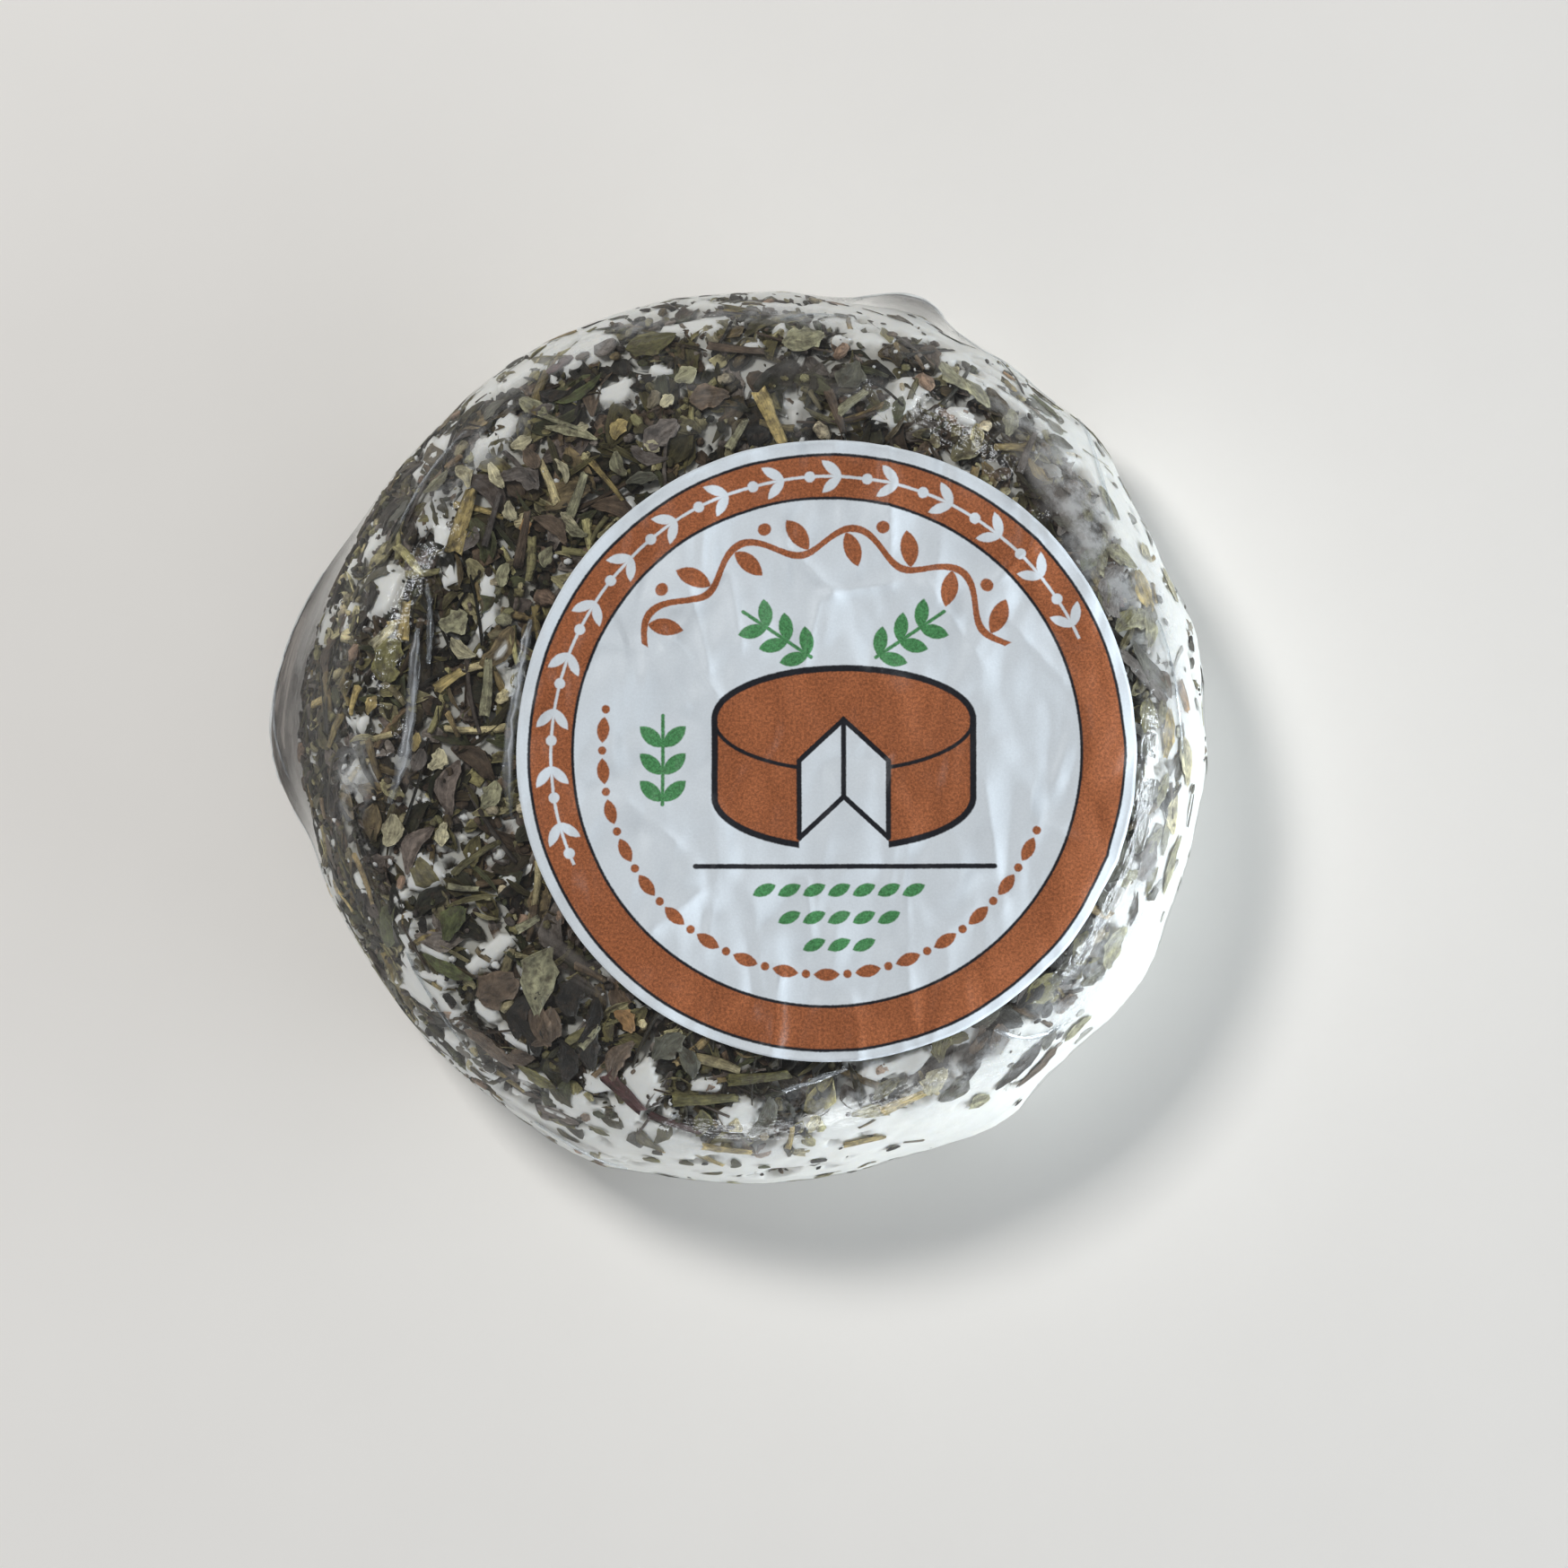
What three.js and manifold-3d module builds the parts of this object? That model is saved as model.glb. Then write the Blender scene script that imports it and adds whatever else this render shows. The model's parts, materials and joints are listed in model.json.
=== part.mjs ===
// A fresh goat cheese: a small round of soft white curd, coated in crushed dried herbs, wrapped tight
// in clear film and closed with a round paper label on top.
// Millimetres, +Z up. The round lies on its base, and the origin is under the middle of its outline.

import * as THREE from 'three';
import { ConvexGeometry } from 'three/addons/geometries/ConvexGeometry.js';
import { mergeVertices } from 'three/addons/utils/BufferGeometryUtils.js';
import Module from 'manifold-3d';

const wasm = await Module();
wasm.setup();

// Driving dimensions

const ROUND = {
  radius: 37.1, // of the wrapped round at its widest, apart from the film's corners
  widestAt: 9, // height of the bulge
};

// Side profile from the base's rim, over the bulge, to the flat of the top: how far in from the outline, and how high.
const PROFILE = [
  [5.4, 0], [2.9, 0.7], [1.1, 2.8], [0.2, 5.8], [0, 9], [0.25, 13], [0.95, 17],
  [2.1, 20.3], [3.8, 23], [6, 24.9], [8.8, 25.9], [12.5, 26.2], [20, 26.4],
];
const TOP_MIDDLE = 26.5;
const TOP_WAVES = [0.22, 0.1]; // heights of the slow and the shorter waves of the hand-pressed top
const FLAT_BEGINS = [20, 25.5]; // heights between which those waves set in

// Corners where the tight film stands off the curd, anticlockwise from +X: [angle, reach, width before, width after].
const FILM_CORNERS = [
  [12, 0.8, 12, 10],
  [42, 0.9, 12, 10],
  [57, 0.7, 10, 8],
  [69.5, 2.4, 8, 12],
  [85, 0.4, 8, 11],
  [146, 0.6, 12, 10],
  [178, 3.6, 42, 22],
  [199, 0.8, 9, 12],
  [249, 0.7, 14, 10],
  [303, 1.2, 16, 9],
  [327, 0.8, 12, 12],
  [357, 0.4, 10, 8],
];
const CORNER_RISE = 11; // height over which a corner dies out, above and below the bulge
const CORNER_HOLLOW = 1.2; // over 1 hollows the film under and over a corner

const LABEL = {
  radius: 25, // a common round sticker, 50 mm across
  x: 6.8, // from the round's middle, as it is stuck on by hand
  y: -2.1,
  thickness: 0.35,
  clearance: 0.32,
  rings: 8,
  rimCrowding: 1.6, // the rings crowd towards the rim, where the paper bends
  sides: 44,
};

const BODY_SIDES = 72;
const TOP_RINGS = [25, 30];

const HERBS = {
  tries: 2600,
  sunk: 0.75, // how far a piece reaches into the round
  proud: 0.5, // and how far out of it
  tilt: 0.09, // how far a piece may lean out of the surface, as a slope
  labelMargin: 0.9,
  lowest: 3.5, // height under which the film's gathers leave no room for them
  innermost: 34, // how far in from the outline they are strewn
  stem: { count: 39, apart: 3.1, length: [4.2, 7.6], radius: [0.42, 0.68] },
  leaf: { count: 109, apart: 2.6, length: [3.2, 5.6], width: [1.5, 2.9] },
  seed: { count: 28, apart: 1.9, radius: [0.6, 0.95] },
};

// The film's outline

function angleFrom(a, b) {
  return THREE.MathUtils.euclideanModulo(a - b + 180, 360) - 180;
}

function cornerReach(theta) {
  const at = THREE.MathUtils.radToDeg(theta);
  let reach = 0;
  for (const [angle, height, before, after] of FILM_CORNERS) {
    const away = angleFrom(at, angle);
    const share = Math.min(1, Math.abs(away) / (away < 0 ? before : after));
    reach += height * Math.cos((share * Math.PI) / 2) ** 2;
  }
  return reach;
}

// Distance from the round's middle to its edge, a circle with slow waves.
function roundReach(theta) {
  return ROUND.radius + 0.16 * Math.cos(3 * theta + 0.7) + 0.1 * Math.cos(5 * theta + 2.1);
}

// Slow rises and hollows of the hand-pressed top.
function topWave(x, y) {
  const slow = Math.sin(0.11 * x + 0.6) * Math.cos(0.13 * y - 0.4);
  const short = Math.sin(0.21 * y + 0.09 * x);
  return TOP_WAVES[0] * slow + TOP_WAVES[1] * short;
}

// The point of the wrapped surface at an angle, at a place along the profile given by its inset and height.
function wrapPoint(theta, inset, z) {
  const stand = Math.max(0, 1 - Math.abs(z - ROUND.widestAt) / CORNER_RISE);
  const r = roundReach(theta) - inset + cornerReach(theta) * stand ** CORNER_HOLLOW;
  const x = r * Math.cos(theta);
  const y = r * Math.sin(theta);
  const lift = THREE.MathUtils.smoothstep(z, ...FLAT_BEGINS);
  return new THREE.Vector3(x, y, z + lift * topWave(x, y));
}

// The upper surface's height over a point of the plan.
const shoulder = PROFILE.slice(PROFILE.findIndex((p) => p[1] === ROUND.widestAt));

function topHeight(x, y) {
  const inset = roundReach(Math.atan2(y, x)) - Math.hypot(x, y);
  const next = shoulder.findIndex((p) => p[0] >= inset);
  let z = TOP_MIDDLE;
  if (next > 0) {
    const [a, b] = [shoulder[next - 1], shoulder[next]];
    z = THREE.MathUtils.mapLinear(inset, a[0], b[0], a[1], b[1]);
  } else if (next < 0) {
    const last = shoulder[shoulder.length - 1];
    const share = Math.min(1, (inset - last[0]) / (ROUND.radius - last[0]));
    z = THREE.MathUtils.lerp(last[1], TOP_MIDDLE, share);
  }
  return z + THREE.MathUtils.smoothstep(z, ...FLAT_BEGINS) * topWave(x, y);
}

function topNormal(x, y) {
  const step = 0.4;
  const dx = (topHeight(x + step, y) - topHeight(x - step, y)) / (2 * step);
  const dy = (topHeight(x, y + step) - topHeight(x, y - step)) / (2 * step);
  return new THREE.Vector3(-dx, -dy, 1).normalize();
}

// Closed solids from rings of points

// Joins rings of equal size, first to last, and closes both ends on a middle point.
function solidFromRings(rings, firstMiddle, lastMiddle) {
  const sides = rings[0].length;
  const points = [...rings.flat(), firstMiddle, lastMiddle];
  const first = rings.length * sides;
  const index = [];
  for (let k = 0; k < sides; k++) {
    const n = (k + 1) % sides;
    index.push(first, n, k);
    for (let j = 0; j + 1 < rings.length; j++) {
      const [a, b] = [j * sides, (j + 1) * sides];
      index.push(a + k, a + n, b + n, a + k, b + n, b + k);
    }
    const last = (rings.length - 1) * sides;
    index.push(first + 1, last + k, last + n);
  }
  const geometry = new THREE.BufferGeometry().setFromPoints(points);
  geometry.setIndex(index);
  return geometry;
}

function manifoldOf(geometry) {
  const bare = geometry.clone();
  bare.deleteAttribute('normal');
  bare.deleteAttribute('uv');
  const merged = mergeVertices(bare, 1e-4);
  return new wasm.Manifold(new wasm.Mesh({
    numProp: 3,
    vertProperties: merged.attributes.position.array,
    triVerts: new Uint32Array(merged.index.array),
  }));
}

function geometryOf(manifold) {
  const { vertProperties, triVerts } = manifold.getMesh();
  const geometry = new THREE.BufferGeometry();
  geometry.setAttribute('position', new THREE.BufferAttribute(vertProperties, 3));
  geometry.setIndex(new THREE.BufferAttribute(triVerts, 1));
  geometry.computeVertexNormals();
  return geometry;
}

// The wrapped round without its herbs: base, bulge, film corners, shoulder and top

function makeRound() {
  const levels = [...PROFILE, ...TOP_RINGS.map((inset) => [inset, THREE.MathUtils.mapLinear(
    inset, PROFILE[PROFILE.length - 1][0], ROUND.radius, PROFILE[PROFILE.length - 1][1], TOP_MIDDLE,
  )])];
  const rings = levels.map(([inset, z]) => {
    const ring = [];
    for (let k = 0; k < BODY_SIDES; k++) {
      ring.push(wrapPoint((2 * Math.PI * k) / BODY_SIDES, inset, z));
    }
    return ring;
  });
  const crown = new THREE.Vector3(0, 0, topHeight(0, 0));
  return manifoldOf(solidFromRings(rings, new THREE.Vector3(), crown));
}

// Herb pieces, each lying along X with its back at z = 0

let seed = 20481;

function random(low = 0, high = 1) {
  seed = (seed * 1664525 + 1013904223) % 4294967296;
  return low + ((high - low) * seed) / 4294967296;
}

// A crushed leaf: pointed at both ends, with a raised midrib.
function leafPiece() {
  const length = random(...HERBS.leaf.length);
  const width = random(...HERBS.leaf.width);
  const skew = random(-0.15, 0.15);
  const outline = [[-0.5, 0], [0.05 + skew, 0.46], [0.5, 0.08], [0.2 - skew, -0.42], [-0.25, -0.4]];
  const points = [];
  for (const [x, y] of outline) {
    points.push(new THREE.Vector3(x * length, y * width, 0.55 * HERBS.proud));
    points.push(new THREE.Vector3(x * length * 0.8, y * width * 0.8, -HERBS.sunk));
  }
  points.push(new THREE.Vector3(-0.2 * length, 0, HERBS.proud), new THREE.Vector3(0.25 * length, 0, HERBS.proud));
  return new ConvexGeometry(points);
}

// A piece of dry stalk, five-sided and cut off square.
function stemPiece() {
  const radius = random(...HERBS.stem.radius);
  const stem = new THREE.CylinderGeometry(radius, radius * 0.85, random(...HERBS.stem.length), 5, 1);
  stem.rotateZ(Math.PI / 2);
  stem.scale(1, 1.15, 1);
  return stem;
}

function seedPiece() {
  const bead = new THREE.IcosahedronGeometry(random(...HERBS.seed.radius), 0);
  bead.scale(1.25, 1, 0.9);
  return bead;
}

// How thickly the herbs lie: closely on the flat, thinly over the shoulder and flank, with bare patches.
function cover(inset, z, theta) {
  const patch = 0.5 + 0.5 * Math.sin(5 * theta + 0.35 * inset) * Math.cos(0.4 * inset + 2 * theta);
  const [shoulderBegins, flatBegins] = [20, 24.5];
  if (z < HERBS.lowest) return 0;
  if (z < shoulderBegins) return 0.3 * patch + 0.06;
  if (z < flatBegins) return 0.55 * patch + 0.15;
  return 0.6 + 0.4 * patch;
}

function clearOfLabel(x, y, halfLength) {
  return Math.hypot(x - LABEL.x, y - LABEL.y) > LABEL.radius + HERBS.labelMargin + halfLength;
}

// A random place on the flank, shoulder or top, even over the surface, and the direction up the profile there.
const slopes = [...PROFILE.slice(3), [HERBS.innermost, TOP_MIDDLE]];

function randomPlace(theta) {
  const lengths = slopes.slice(1).map((p, k) => Math.hypot(p[0] - slopes[k][0], p[1] - slopes[k][1]));
  let along = random(0, lengths.reduce((sum, length) => sum + length, 0));
  let k = 0;
  while (k < lengths.length - 1 && along > lengths[k]) {
    along -= lengths[k];
    k += 1;
  }
  const [low, high] = [slopes[k], slopes[k + 1]];
  const inset = THREE.MathUtils.lerp(low[0], high[0], along / lengths[k]);
  const z = THREE.MathUtils.lerp(low[1], high[1], along / lengths[k]);
  const up = wrapPoint(theta, ...high).sub(wrapPoint(theta, ...low)).normalize();
  return { inset, z, up };
}

// Places pieces one by one, the long ones first, each clear of the middles of those before it.
function makeHerbs() {
  const pieces = [];
  const taken = [];
  const kinds = [
    { ...HERBS.stem, make: stemPiece, halfLength: HERBS.stem.length[1] / 2 },
    { ...HERBS.leaf, make: leafPiece, halfLength: HERBS.leaf.length[1] / 2 },
    { ...HERBS.seed, make: seedPiece, halfLength: HERBS.seed.radius[1] },
  ];
  const onTop = FLAT_BEGINS[0];
  for (const kind of kinds) {
    let left = kind.count;
    for (let t = 0; t < HERBS.tries && left > 0; t++) {
      const theta = random(0, 2 * Math.PI);
      const { inset, z, up } = randomPlace(theta);
      const spot = wrapPoint(theta, inset, z);
      const dense = random() < cover(inset, z, theta);
      const free = taken.every((p) => p.distanceTo(spot) > kind.apart);
      if (!dense || !free || !clearOfLabel(spot.x, spot.y, z > onTop ? kind.halfLength : 0)) continue;
      const round = new THREE.Vector3(-Math.sin(theta), Math.cos(theta), 0);
      const out = round.clone().cross(up).normalize();
      const turn = random(0, Math.PI * 2);
      const lie = up.clone().multiplyScalar(Math.cos(turn)).addScaledVector(round, Math.sin(turn));
      lie.addScaledVector(out, random(-HERBS.tilt, HERBS.tilt)).normalize();
      const side = out.clone().cross(lie).normalize();
      const place = new THREE.Matrix4().makeBasis(lie, side, lie.clone().cross(side)).setPosition(spot);
      pieces.push(manifoldOf(kind.make().applyMatrix4(place)));
      taken.push(spot);
      left -= 1;
    }
  }
  return pieces;
}

// Herbs and round fused, without the scraps and the sealed pockets that fusing can leave.
function makeWrappedCheese() {
  const fused = wasm.Manifold.union([makeRound(), ...makeHerbs()]);
  const shells = fused.decompose().sort((a, b) => b.volume() - a.volume());
  return geometryOf(shells[0]);
}

// The paper label, bent over the shoulder where it overhangs the flat, with both faces split alike

// The plan of the point that lies a length of paper away from the label's middle.
function labelPlan(phi, length) {
  const steps = 24;
  const walk = length / steps;
  let [x, y] = [LABEL.x, LABEL.y];
  for (let k = 0; k < steps && length > 0; k++) {
    const ahead = [x + walk * Math.cos(phi), y + walk * Math.sin(phi)];
    const rise = (topHeight(...ahead) - topHeight(x, y)) / walk;
    x += (walk * Math.cos(phi)) / Math.hypot(1, rise);
    y += (walk * Math.sin(phi)) / Math.hypot(1, rise);
  }
  return [x, y];
}

function makeLabel() {
  const faceAt = (offset) => {
    const rings = [];
    for (let j = 1; j <= LABEL.rings; j++) {
      const length = LABEL.radius * (1 - (1 - j / LABEL.rings) ** LABEL.rimCrowding);
      const ring = [];
      for (let k = 0; k < LABEL.sides; k++) {
        const [x, y] = labelPlan((2 * Math.PI * k) / LABEL.sides, length);
        ring.push(new THREE.Vector3(x, y, topHeight(x, y)).addScaledVector(topNormal(x, y), offset));
      }
      rings.push(ring);
    }
    return rings;
  };
  const middleAt = (offset) => new THREE.Vector3(LABEL.x, LABEL.y, topHeight(LABEL.x, LABEL.y) + offset);
  const [under, over] = [LABEL.clearance, LABEL.clearance + LABEL.thickness];
  const rings = [...faceAt(under), ...faceAt(over).reverse()];
  return geometryOf(manifoldOf(solidFromRings(rings, middleAt(under), middleAt(over))));
}

// The parts together, with the middle of the outline over the origin

const curdAndHerbs = new THREE.MeshStandardMaterial({ color: 0x8b8a74, roughness: 0.35, metalness: 0 });
const paper = new THREE.MeshStandardMaterial({ color: 0xdfe4ea, roughness: 0.45, metalness: 0 });

const wrapped = new THREE.Mesh(makeWrappedCheese(), curdAndHerbs);
wrapped.name = 'wrapped_cheese';

const label = new THREE.Mesh(makeLabel(), paper);
label.name = 'label';

const cheese = new THREE.Group();
cheese.add(wrapped, label);

const reach = new THREE.Box3().setFromObject(cheese);
const middle = reach.getCenter(new THREE.Vector3());
for (const piece of cheese.children) {
  piece.geometry.translate(-middle.x, -middle.y, -reach.min.z);
}

export default cheese;
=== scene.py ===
import json
import math

import bpy
import numpy as np
from mathutils import Matrix, Vector, noise

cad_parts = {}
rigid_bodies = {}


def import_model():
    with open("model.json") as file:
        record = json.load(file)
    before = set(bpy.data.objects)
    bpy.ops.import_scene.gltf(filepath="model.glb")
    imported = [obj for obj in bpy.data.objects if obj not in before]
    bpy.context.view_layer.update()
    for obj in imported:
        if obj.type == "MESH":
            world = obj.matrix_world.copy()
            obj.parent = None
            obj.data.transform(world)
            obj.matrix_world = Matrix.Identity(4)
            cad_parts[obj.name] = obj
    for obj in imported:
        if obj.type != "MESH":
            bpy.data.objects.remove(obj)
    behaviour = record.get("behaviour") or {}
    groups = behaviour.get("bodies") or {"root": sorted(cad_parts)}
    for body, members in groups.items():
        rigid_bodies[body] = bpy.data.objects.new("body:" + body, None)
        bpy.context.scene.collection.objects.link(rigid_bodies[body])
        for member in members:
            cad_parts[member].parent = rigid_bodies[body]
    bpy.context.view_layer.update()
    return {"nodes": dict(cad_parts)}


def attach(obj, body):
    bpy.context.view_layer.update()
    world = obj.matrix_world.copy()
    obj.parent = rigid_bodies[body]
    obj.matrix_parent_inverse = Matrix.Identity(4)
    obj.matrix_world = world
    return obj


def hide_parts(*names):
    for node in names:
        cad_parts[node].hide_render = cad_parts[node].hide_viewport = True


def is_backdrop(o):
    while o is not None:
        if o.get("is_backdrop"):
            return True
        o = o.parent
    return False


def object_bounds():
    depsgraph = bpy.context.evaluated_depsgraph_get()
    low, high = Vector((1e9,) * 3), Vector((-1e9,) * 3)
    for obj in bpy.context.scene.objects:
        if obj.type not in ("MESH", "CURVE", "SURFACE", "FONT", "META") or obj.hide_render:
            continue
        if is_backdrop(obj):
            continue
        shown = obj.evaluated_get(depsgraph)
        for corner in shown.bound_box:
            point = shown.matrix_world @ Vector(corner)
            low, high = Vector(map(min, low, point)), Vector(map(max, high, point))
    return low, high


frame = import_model()
mm = 0.001

# The camera. The picture was taken from almost straight above with a long lens, leaning a little to the
# lower right, so that the round shows more of its right and lower flank. Up in the picture is +Y.
picture_px = 1748
pixel = 0.0745 * mm  # real size of one pixel of the photograph, at the outline's height
outline_middle_px = (822, 822)
outline_height = 9 * mm
lens = 150 * mm
sensor = 36 * mm
lean = math.radians(5)
lean_towards = math.radians(-45)
nearest_shown = 10 * mm

off_px = (picture_px / 2 - outline_middle_px[0], outline_middle_px[1] - picture_px / 2)
aim = Vector((off_px[0] * pixel, off_px[1] * pixel, outline_height))
away = Vector((
    math.sin(lean) * math.cos(lean_towards),
    math.sin(lean) * math.sin(lean_towards),
    math.cos(lean),
))
right = Vector((0, 1, 0)).cross(away).normalized()
distance = lens / sensor * picture_px * pixel
camera_data = bpy.data.cameras.new("camera")
camera_data.lens = lens / mm
camera_data.sensor_width = sensor / mm
camera_data.clip_start = nearest_shown
camera = bpy.data.objects.new("camera", camera_data)
camera_turn = Matrix((right, away.cross(right), away)).transposed().to_4x4()
camera.matrix_world = Matrix.Translation(aim + away * distance) @ camera_turn
bpy.context.scene.collection.objects.link(camera)
bpy.context.scene.camera = camera


# The studio. A plain pale table under a soft light from the upper left. Two low broad lamps whiten the right
# and the front flank, and two narrow ones show in the film's gloss alone. None of it is part of the object.
def node(tree, kind, inputs=None, **settings):
    """A node with its inputs set or linked. An input that is given a node takes that node's first output."""
    made = tree.nodes.new(kind)
    for name, value in settings.items():
        setattr(made, name, value)
    for name, value in (inputs or {}).items():
        if isinstance(value, bpy.types.Node):
            value = value.outputs[0]
        if isinstance(value, bpy.types.NodeSocket):
            tree.links.new(value, made.inputs[name])
        else:
            made.inputs[name].default_value = value
    return made


def noisy(tree, place, scale, detail, roughness=0.5, distortion=0):
    """Cloudy noise, from 0 to 1, with its number first and its colour second."""
    return node(tree, "ShaderNodeTexNoise", {
        "Vector": place, "Scale": scale, "Detail": detail, "Roughness": roughness, "Distortion": distortion,
    })


def mixed(tree, share, first, second):
    return node(tree, "ShaderNodeMixRGB", {"Fac": share, "Color1": first, "Color2": second})


def material(name):
    made = bpy.data.materials.new(name)
    made.use_nodes = True
    made.node_tree.nodes.clear()
    return made, made.node_tree


def soft_light(name, azimuth, elevation, far, size, watts, colour, on_matt=True, in_gloss=True):
    """An oblong lamp turned to the round: degrees round and up, then its distance and its size in metres."""
    data = bpy.data.lights.new(name, "AREA")
    data.shape = "RECTANGLE"
    data.size, data.size_y = size
    data.energy = watts
    data.color = colour
    lamp = bpy.data.objects.new(name, data)
    turn, up = math.radians(azimuth), math.radians(elevation)
    level = far * math.cos(up)
    lamp.location = (level * math.cos(turn), level * math.sin(turn), far * math.sin(up))
    lamp.rotation_euler = (-lamp.location).to_track_quat("-Z", "Y").to_euler()
    lamp.visible_diffuse = on_matt
    lamp.visible_glossy = in_gloss
    bpy.context.scene.collection.objects.link(lamp)


soft_light("over_upper_left", 132, 60, 0.7, (0.15, 0.15), 2.7, (1, 0.985, 0.955), in_gloss=False)
soft_light("low_right", -16, 6, 0.45, (0.36, 0.09), 2.4, (0.88, 0.95, 1))
soft_light("low_front", -84, 5, 0.55, (0.36, 0.09), 0.8, (0.95, 0.98, 1))
soft_light("glints_top_right", 62, 50, 0.6, (0.05, 0.16), 0.3, (0.96, 0.98, 1), on_matt=False)
soft_light("glints_left", 158, 44, 0.6, (0.04, 0.2), 0.4, (0.96, 0.98, 1), on_matt=False)

sky_colour = (0.96, 0.97, 1, 1)
sky_strength = 0.21
world = bpy.data.worlds.new("studio")
world.use_nodes = True
world.node_tree.nodes["Background"].inputs["Color"].default_value = sky_colour
world.node_tree.nodes["Background"].inputs["Strength"].default_value = sky_strength
bpy.context.scene.world = world
bpy.context.scene.view_settings.view_transform = "Standard"

table_half = 1.6
table_tones = ((0.9, 0.885, 0.86, 1), (0.925, 0.91, 0.885, 1))
table_corners = [(x * table_half, y * table_half, 0) for x, y in ((-1, -1), (1, -1), (1, 1), (-1, 1))]
table_mesh = bpy.data.meshes.new("table")
table_mesh.from_pydata(table_corners, [], [(0, 1, 2, 3)])
table = bpy.data.objects.new("table", table_mesh)
bpy.context.scene.collection.objects.link(table)
table_paint, tree = material("table_paint")
mottle = noisy(tree, node(tree, "ShaderNodeTexCoord").outputs["Object"], 90, 3)
tone = mixed(tree, mottle, *table_tones)
surface = node(tree, "ShaderNodeBsdfPrincipled", {"Base Color": tone, "Roughness": 0.75})
node(tree, "ShaderNodeOutputMaterial", {"Surface": surface})
table_mesh.materials.append(table_paint)
table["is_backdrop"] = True


# The curd round. Fresh goat curd ladled into a small mould, drained and turned out, so it is a flat round
# with soft shoulders. Where the herbs lie close it is sunk under them, and elsewhere it meets the film.
round_radius = 37.1 * mm
round_low = 0.02 * mm  # lowest place of the film over the table, and next that of the curd in it
curd_low = 0.08 * mm
widest_at = 9 * mm
profile = np.array([  # from the base's rim to the flat of the top: how far in from the outline, how high
    (5.4, 0), (2.9, 0.7), (1.1, 2.8), (0.2, 5.8), (0, 9), (0.25, 13), (0.95, 17),
    (2.1, 20.3), (3.8, 23), (6, 24.9), (8.8, 25.9), (12.5, 26.2), (20, 26.4),
]) * mm
top_middle = 26.5 * mm
flat_from, flat_in = 20 * mm, 5.5 * mm  # where the side starts to turn into the top, and over what height
curd_depth = 1.1 * mm  # of the deepest curd under the film
curd_bare = 0.2 * mm  # and where no herbs lie on it
curd_under_label = 0.3 * mm
curd_sides = 500
curd_white = (0.82, 0.83, 0.805, 1)
curd_stained = (0.26, 0.24, 0.18, 1)  # by the herbs that lie on it
label_radius = 25 * mm
label_middle = np.array((6.8, -2.1)) * mm  # from the round's middle

corner_rise = 11 * mm
film_corners = [  # anticlockwise from +X: angle, reach in mm, width before, width after
    (12, 0.8, 12, 10), (42, 0.9, 12, 10), (57, 0.7, 10, 8), (69.5, 2.4, 8, 12), (85, 0.4, 8, 11),
    (146, 0.6, 12, 10), (178, 3.85, 42, 22), (199, 0.8, 9, 12), (249, 0.7, 14, 10), (303, 1.2, 16, 9),
    (327, 0.8, 12, 12), (357, 0.4, 10, 8),
]
empty_from = 1.5  # mm: a corner that reaches further is an ear of empty film

# The round's middle is the middle point of the CAD solid's flat base.
solid = frame["nodes"]["wrapped_cheese"].data
points = np.empty(len(solid.vertices) * 3)
solid.vertices.foreach_get("co", points)
points = points.reshape(-1, 3)
floor_points = points[points[:, 2] < 0.001 * mm, :2]
middle = floor_points[np.argmin(np.linalg.norm(floor_points - floor_points.mean(0), axis=1))]


def rounded(path, times):
    """The path with its corners cut again and again, which makes it a smooth curve."""
    for _ in range(times):
        cut = np.stack([0.75 * path[:-1] + 0.25 * path[1:], 0.25 * path[:-1] + 0.75 * path[1:]], 1)
        path = np.concatenate([path[:1], cut.reshape(-1, 2), path[-1:]])
    return path


curve = rounded(np.vstack([(round_radius, 0), profile, (round_radius, top_middle)]), 4)
climb_table = np.concatenate([[0], np.cumsum(np.linalg.norm(np.diff(curve, axis=0), axis=1))])
curve_length = climb_table[-1]
slope = np.gradient(curve, climb_table, axis=0)
slope /= np.linalg.norm(slope, axis=1)[:, None]


def profile_at(climb):
    """Inset and height at a length along the profile from the base's middle, and which way is out there."""
    inset, height = (np.interp(climb, climb_table, curve[:, k]) for k in (0, 1))
    along_in, along_up = (np.interp(climb, climb_table, slope[:, k]) for k in (0, 1))
    return inset, height, -along_up, along_in


def climb_at(inset):
    """The length along the profile at an inset, on the upper side."""
    widest = np.argmin(curve[:, 0])
    return np.interp(inset, curve[widest:, 0], climb_table[widest:])


def reach(theta):
    """The outline's radius, which is a little out of round."""
    return round_radius + 0.16 * mm * np.cos(3 * theta + 0.7) + 0.1 * mm * np.cos(5 * theta + 2.1)


def corner_reach(theta, share_filled=None):
    """How far the film stands off the round's outline, or how far the curd fills its corners."""
    stands = np.zeros_like(theta)
    for angle, height, before, after in film_corners:
        off = np.mod(np.degrees(theta) - angle + 180, 360) - 180
        share = np.minimum(1, np.abs(off) / np.where(off < 0, before, after))
        filled = 1 if share_filled is None else share_filled[height > empty_from]
        stands += filled * height * np.cos(share * math.pi / 2) ** 2
    return stands * mm


def corner_stand(height):
    """A corner's share of its reach at a height: all of it where the round is widest."""
    return np.clip(1 - np.abs(height - widest_at) / corner_rise, 0, 1) ** 1.2


def curd_corner(theta, climb):
    """How far the curd reaches out of the plain form: into nearly all of a low corner, little of an ear."""
    return corner_reach(theta, (0.95, 0.42)) * corner_stand(profile_at(climb)[1])


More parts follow.
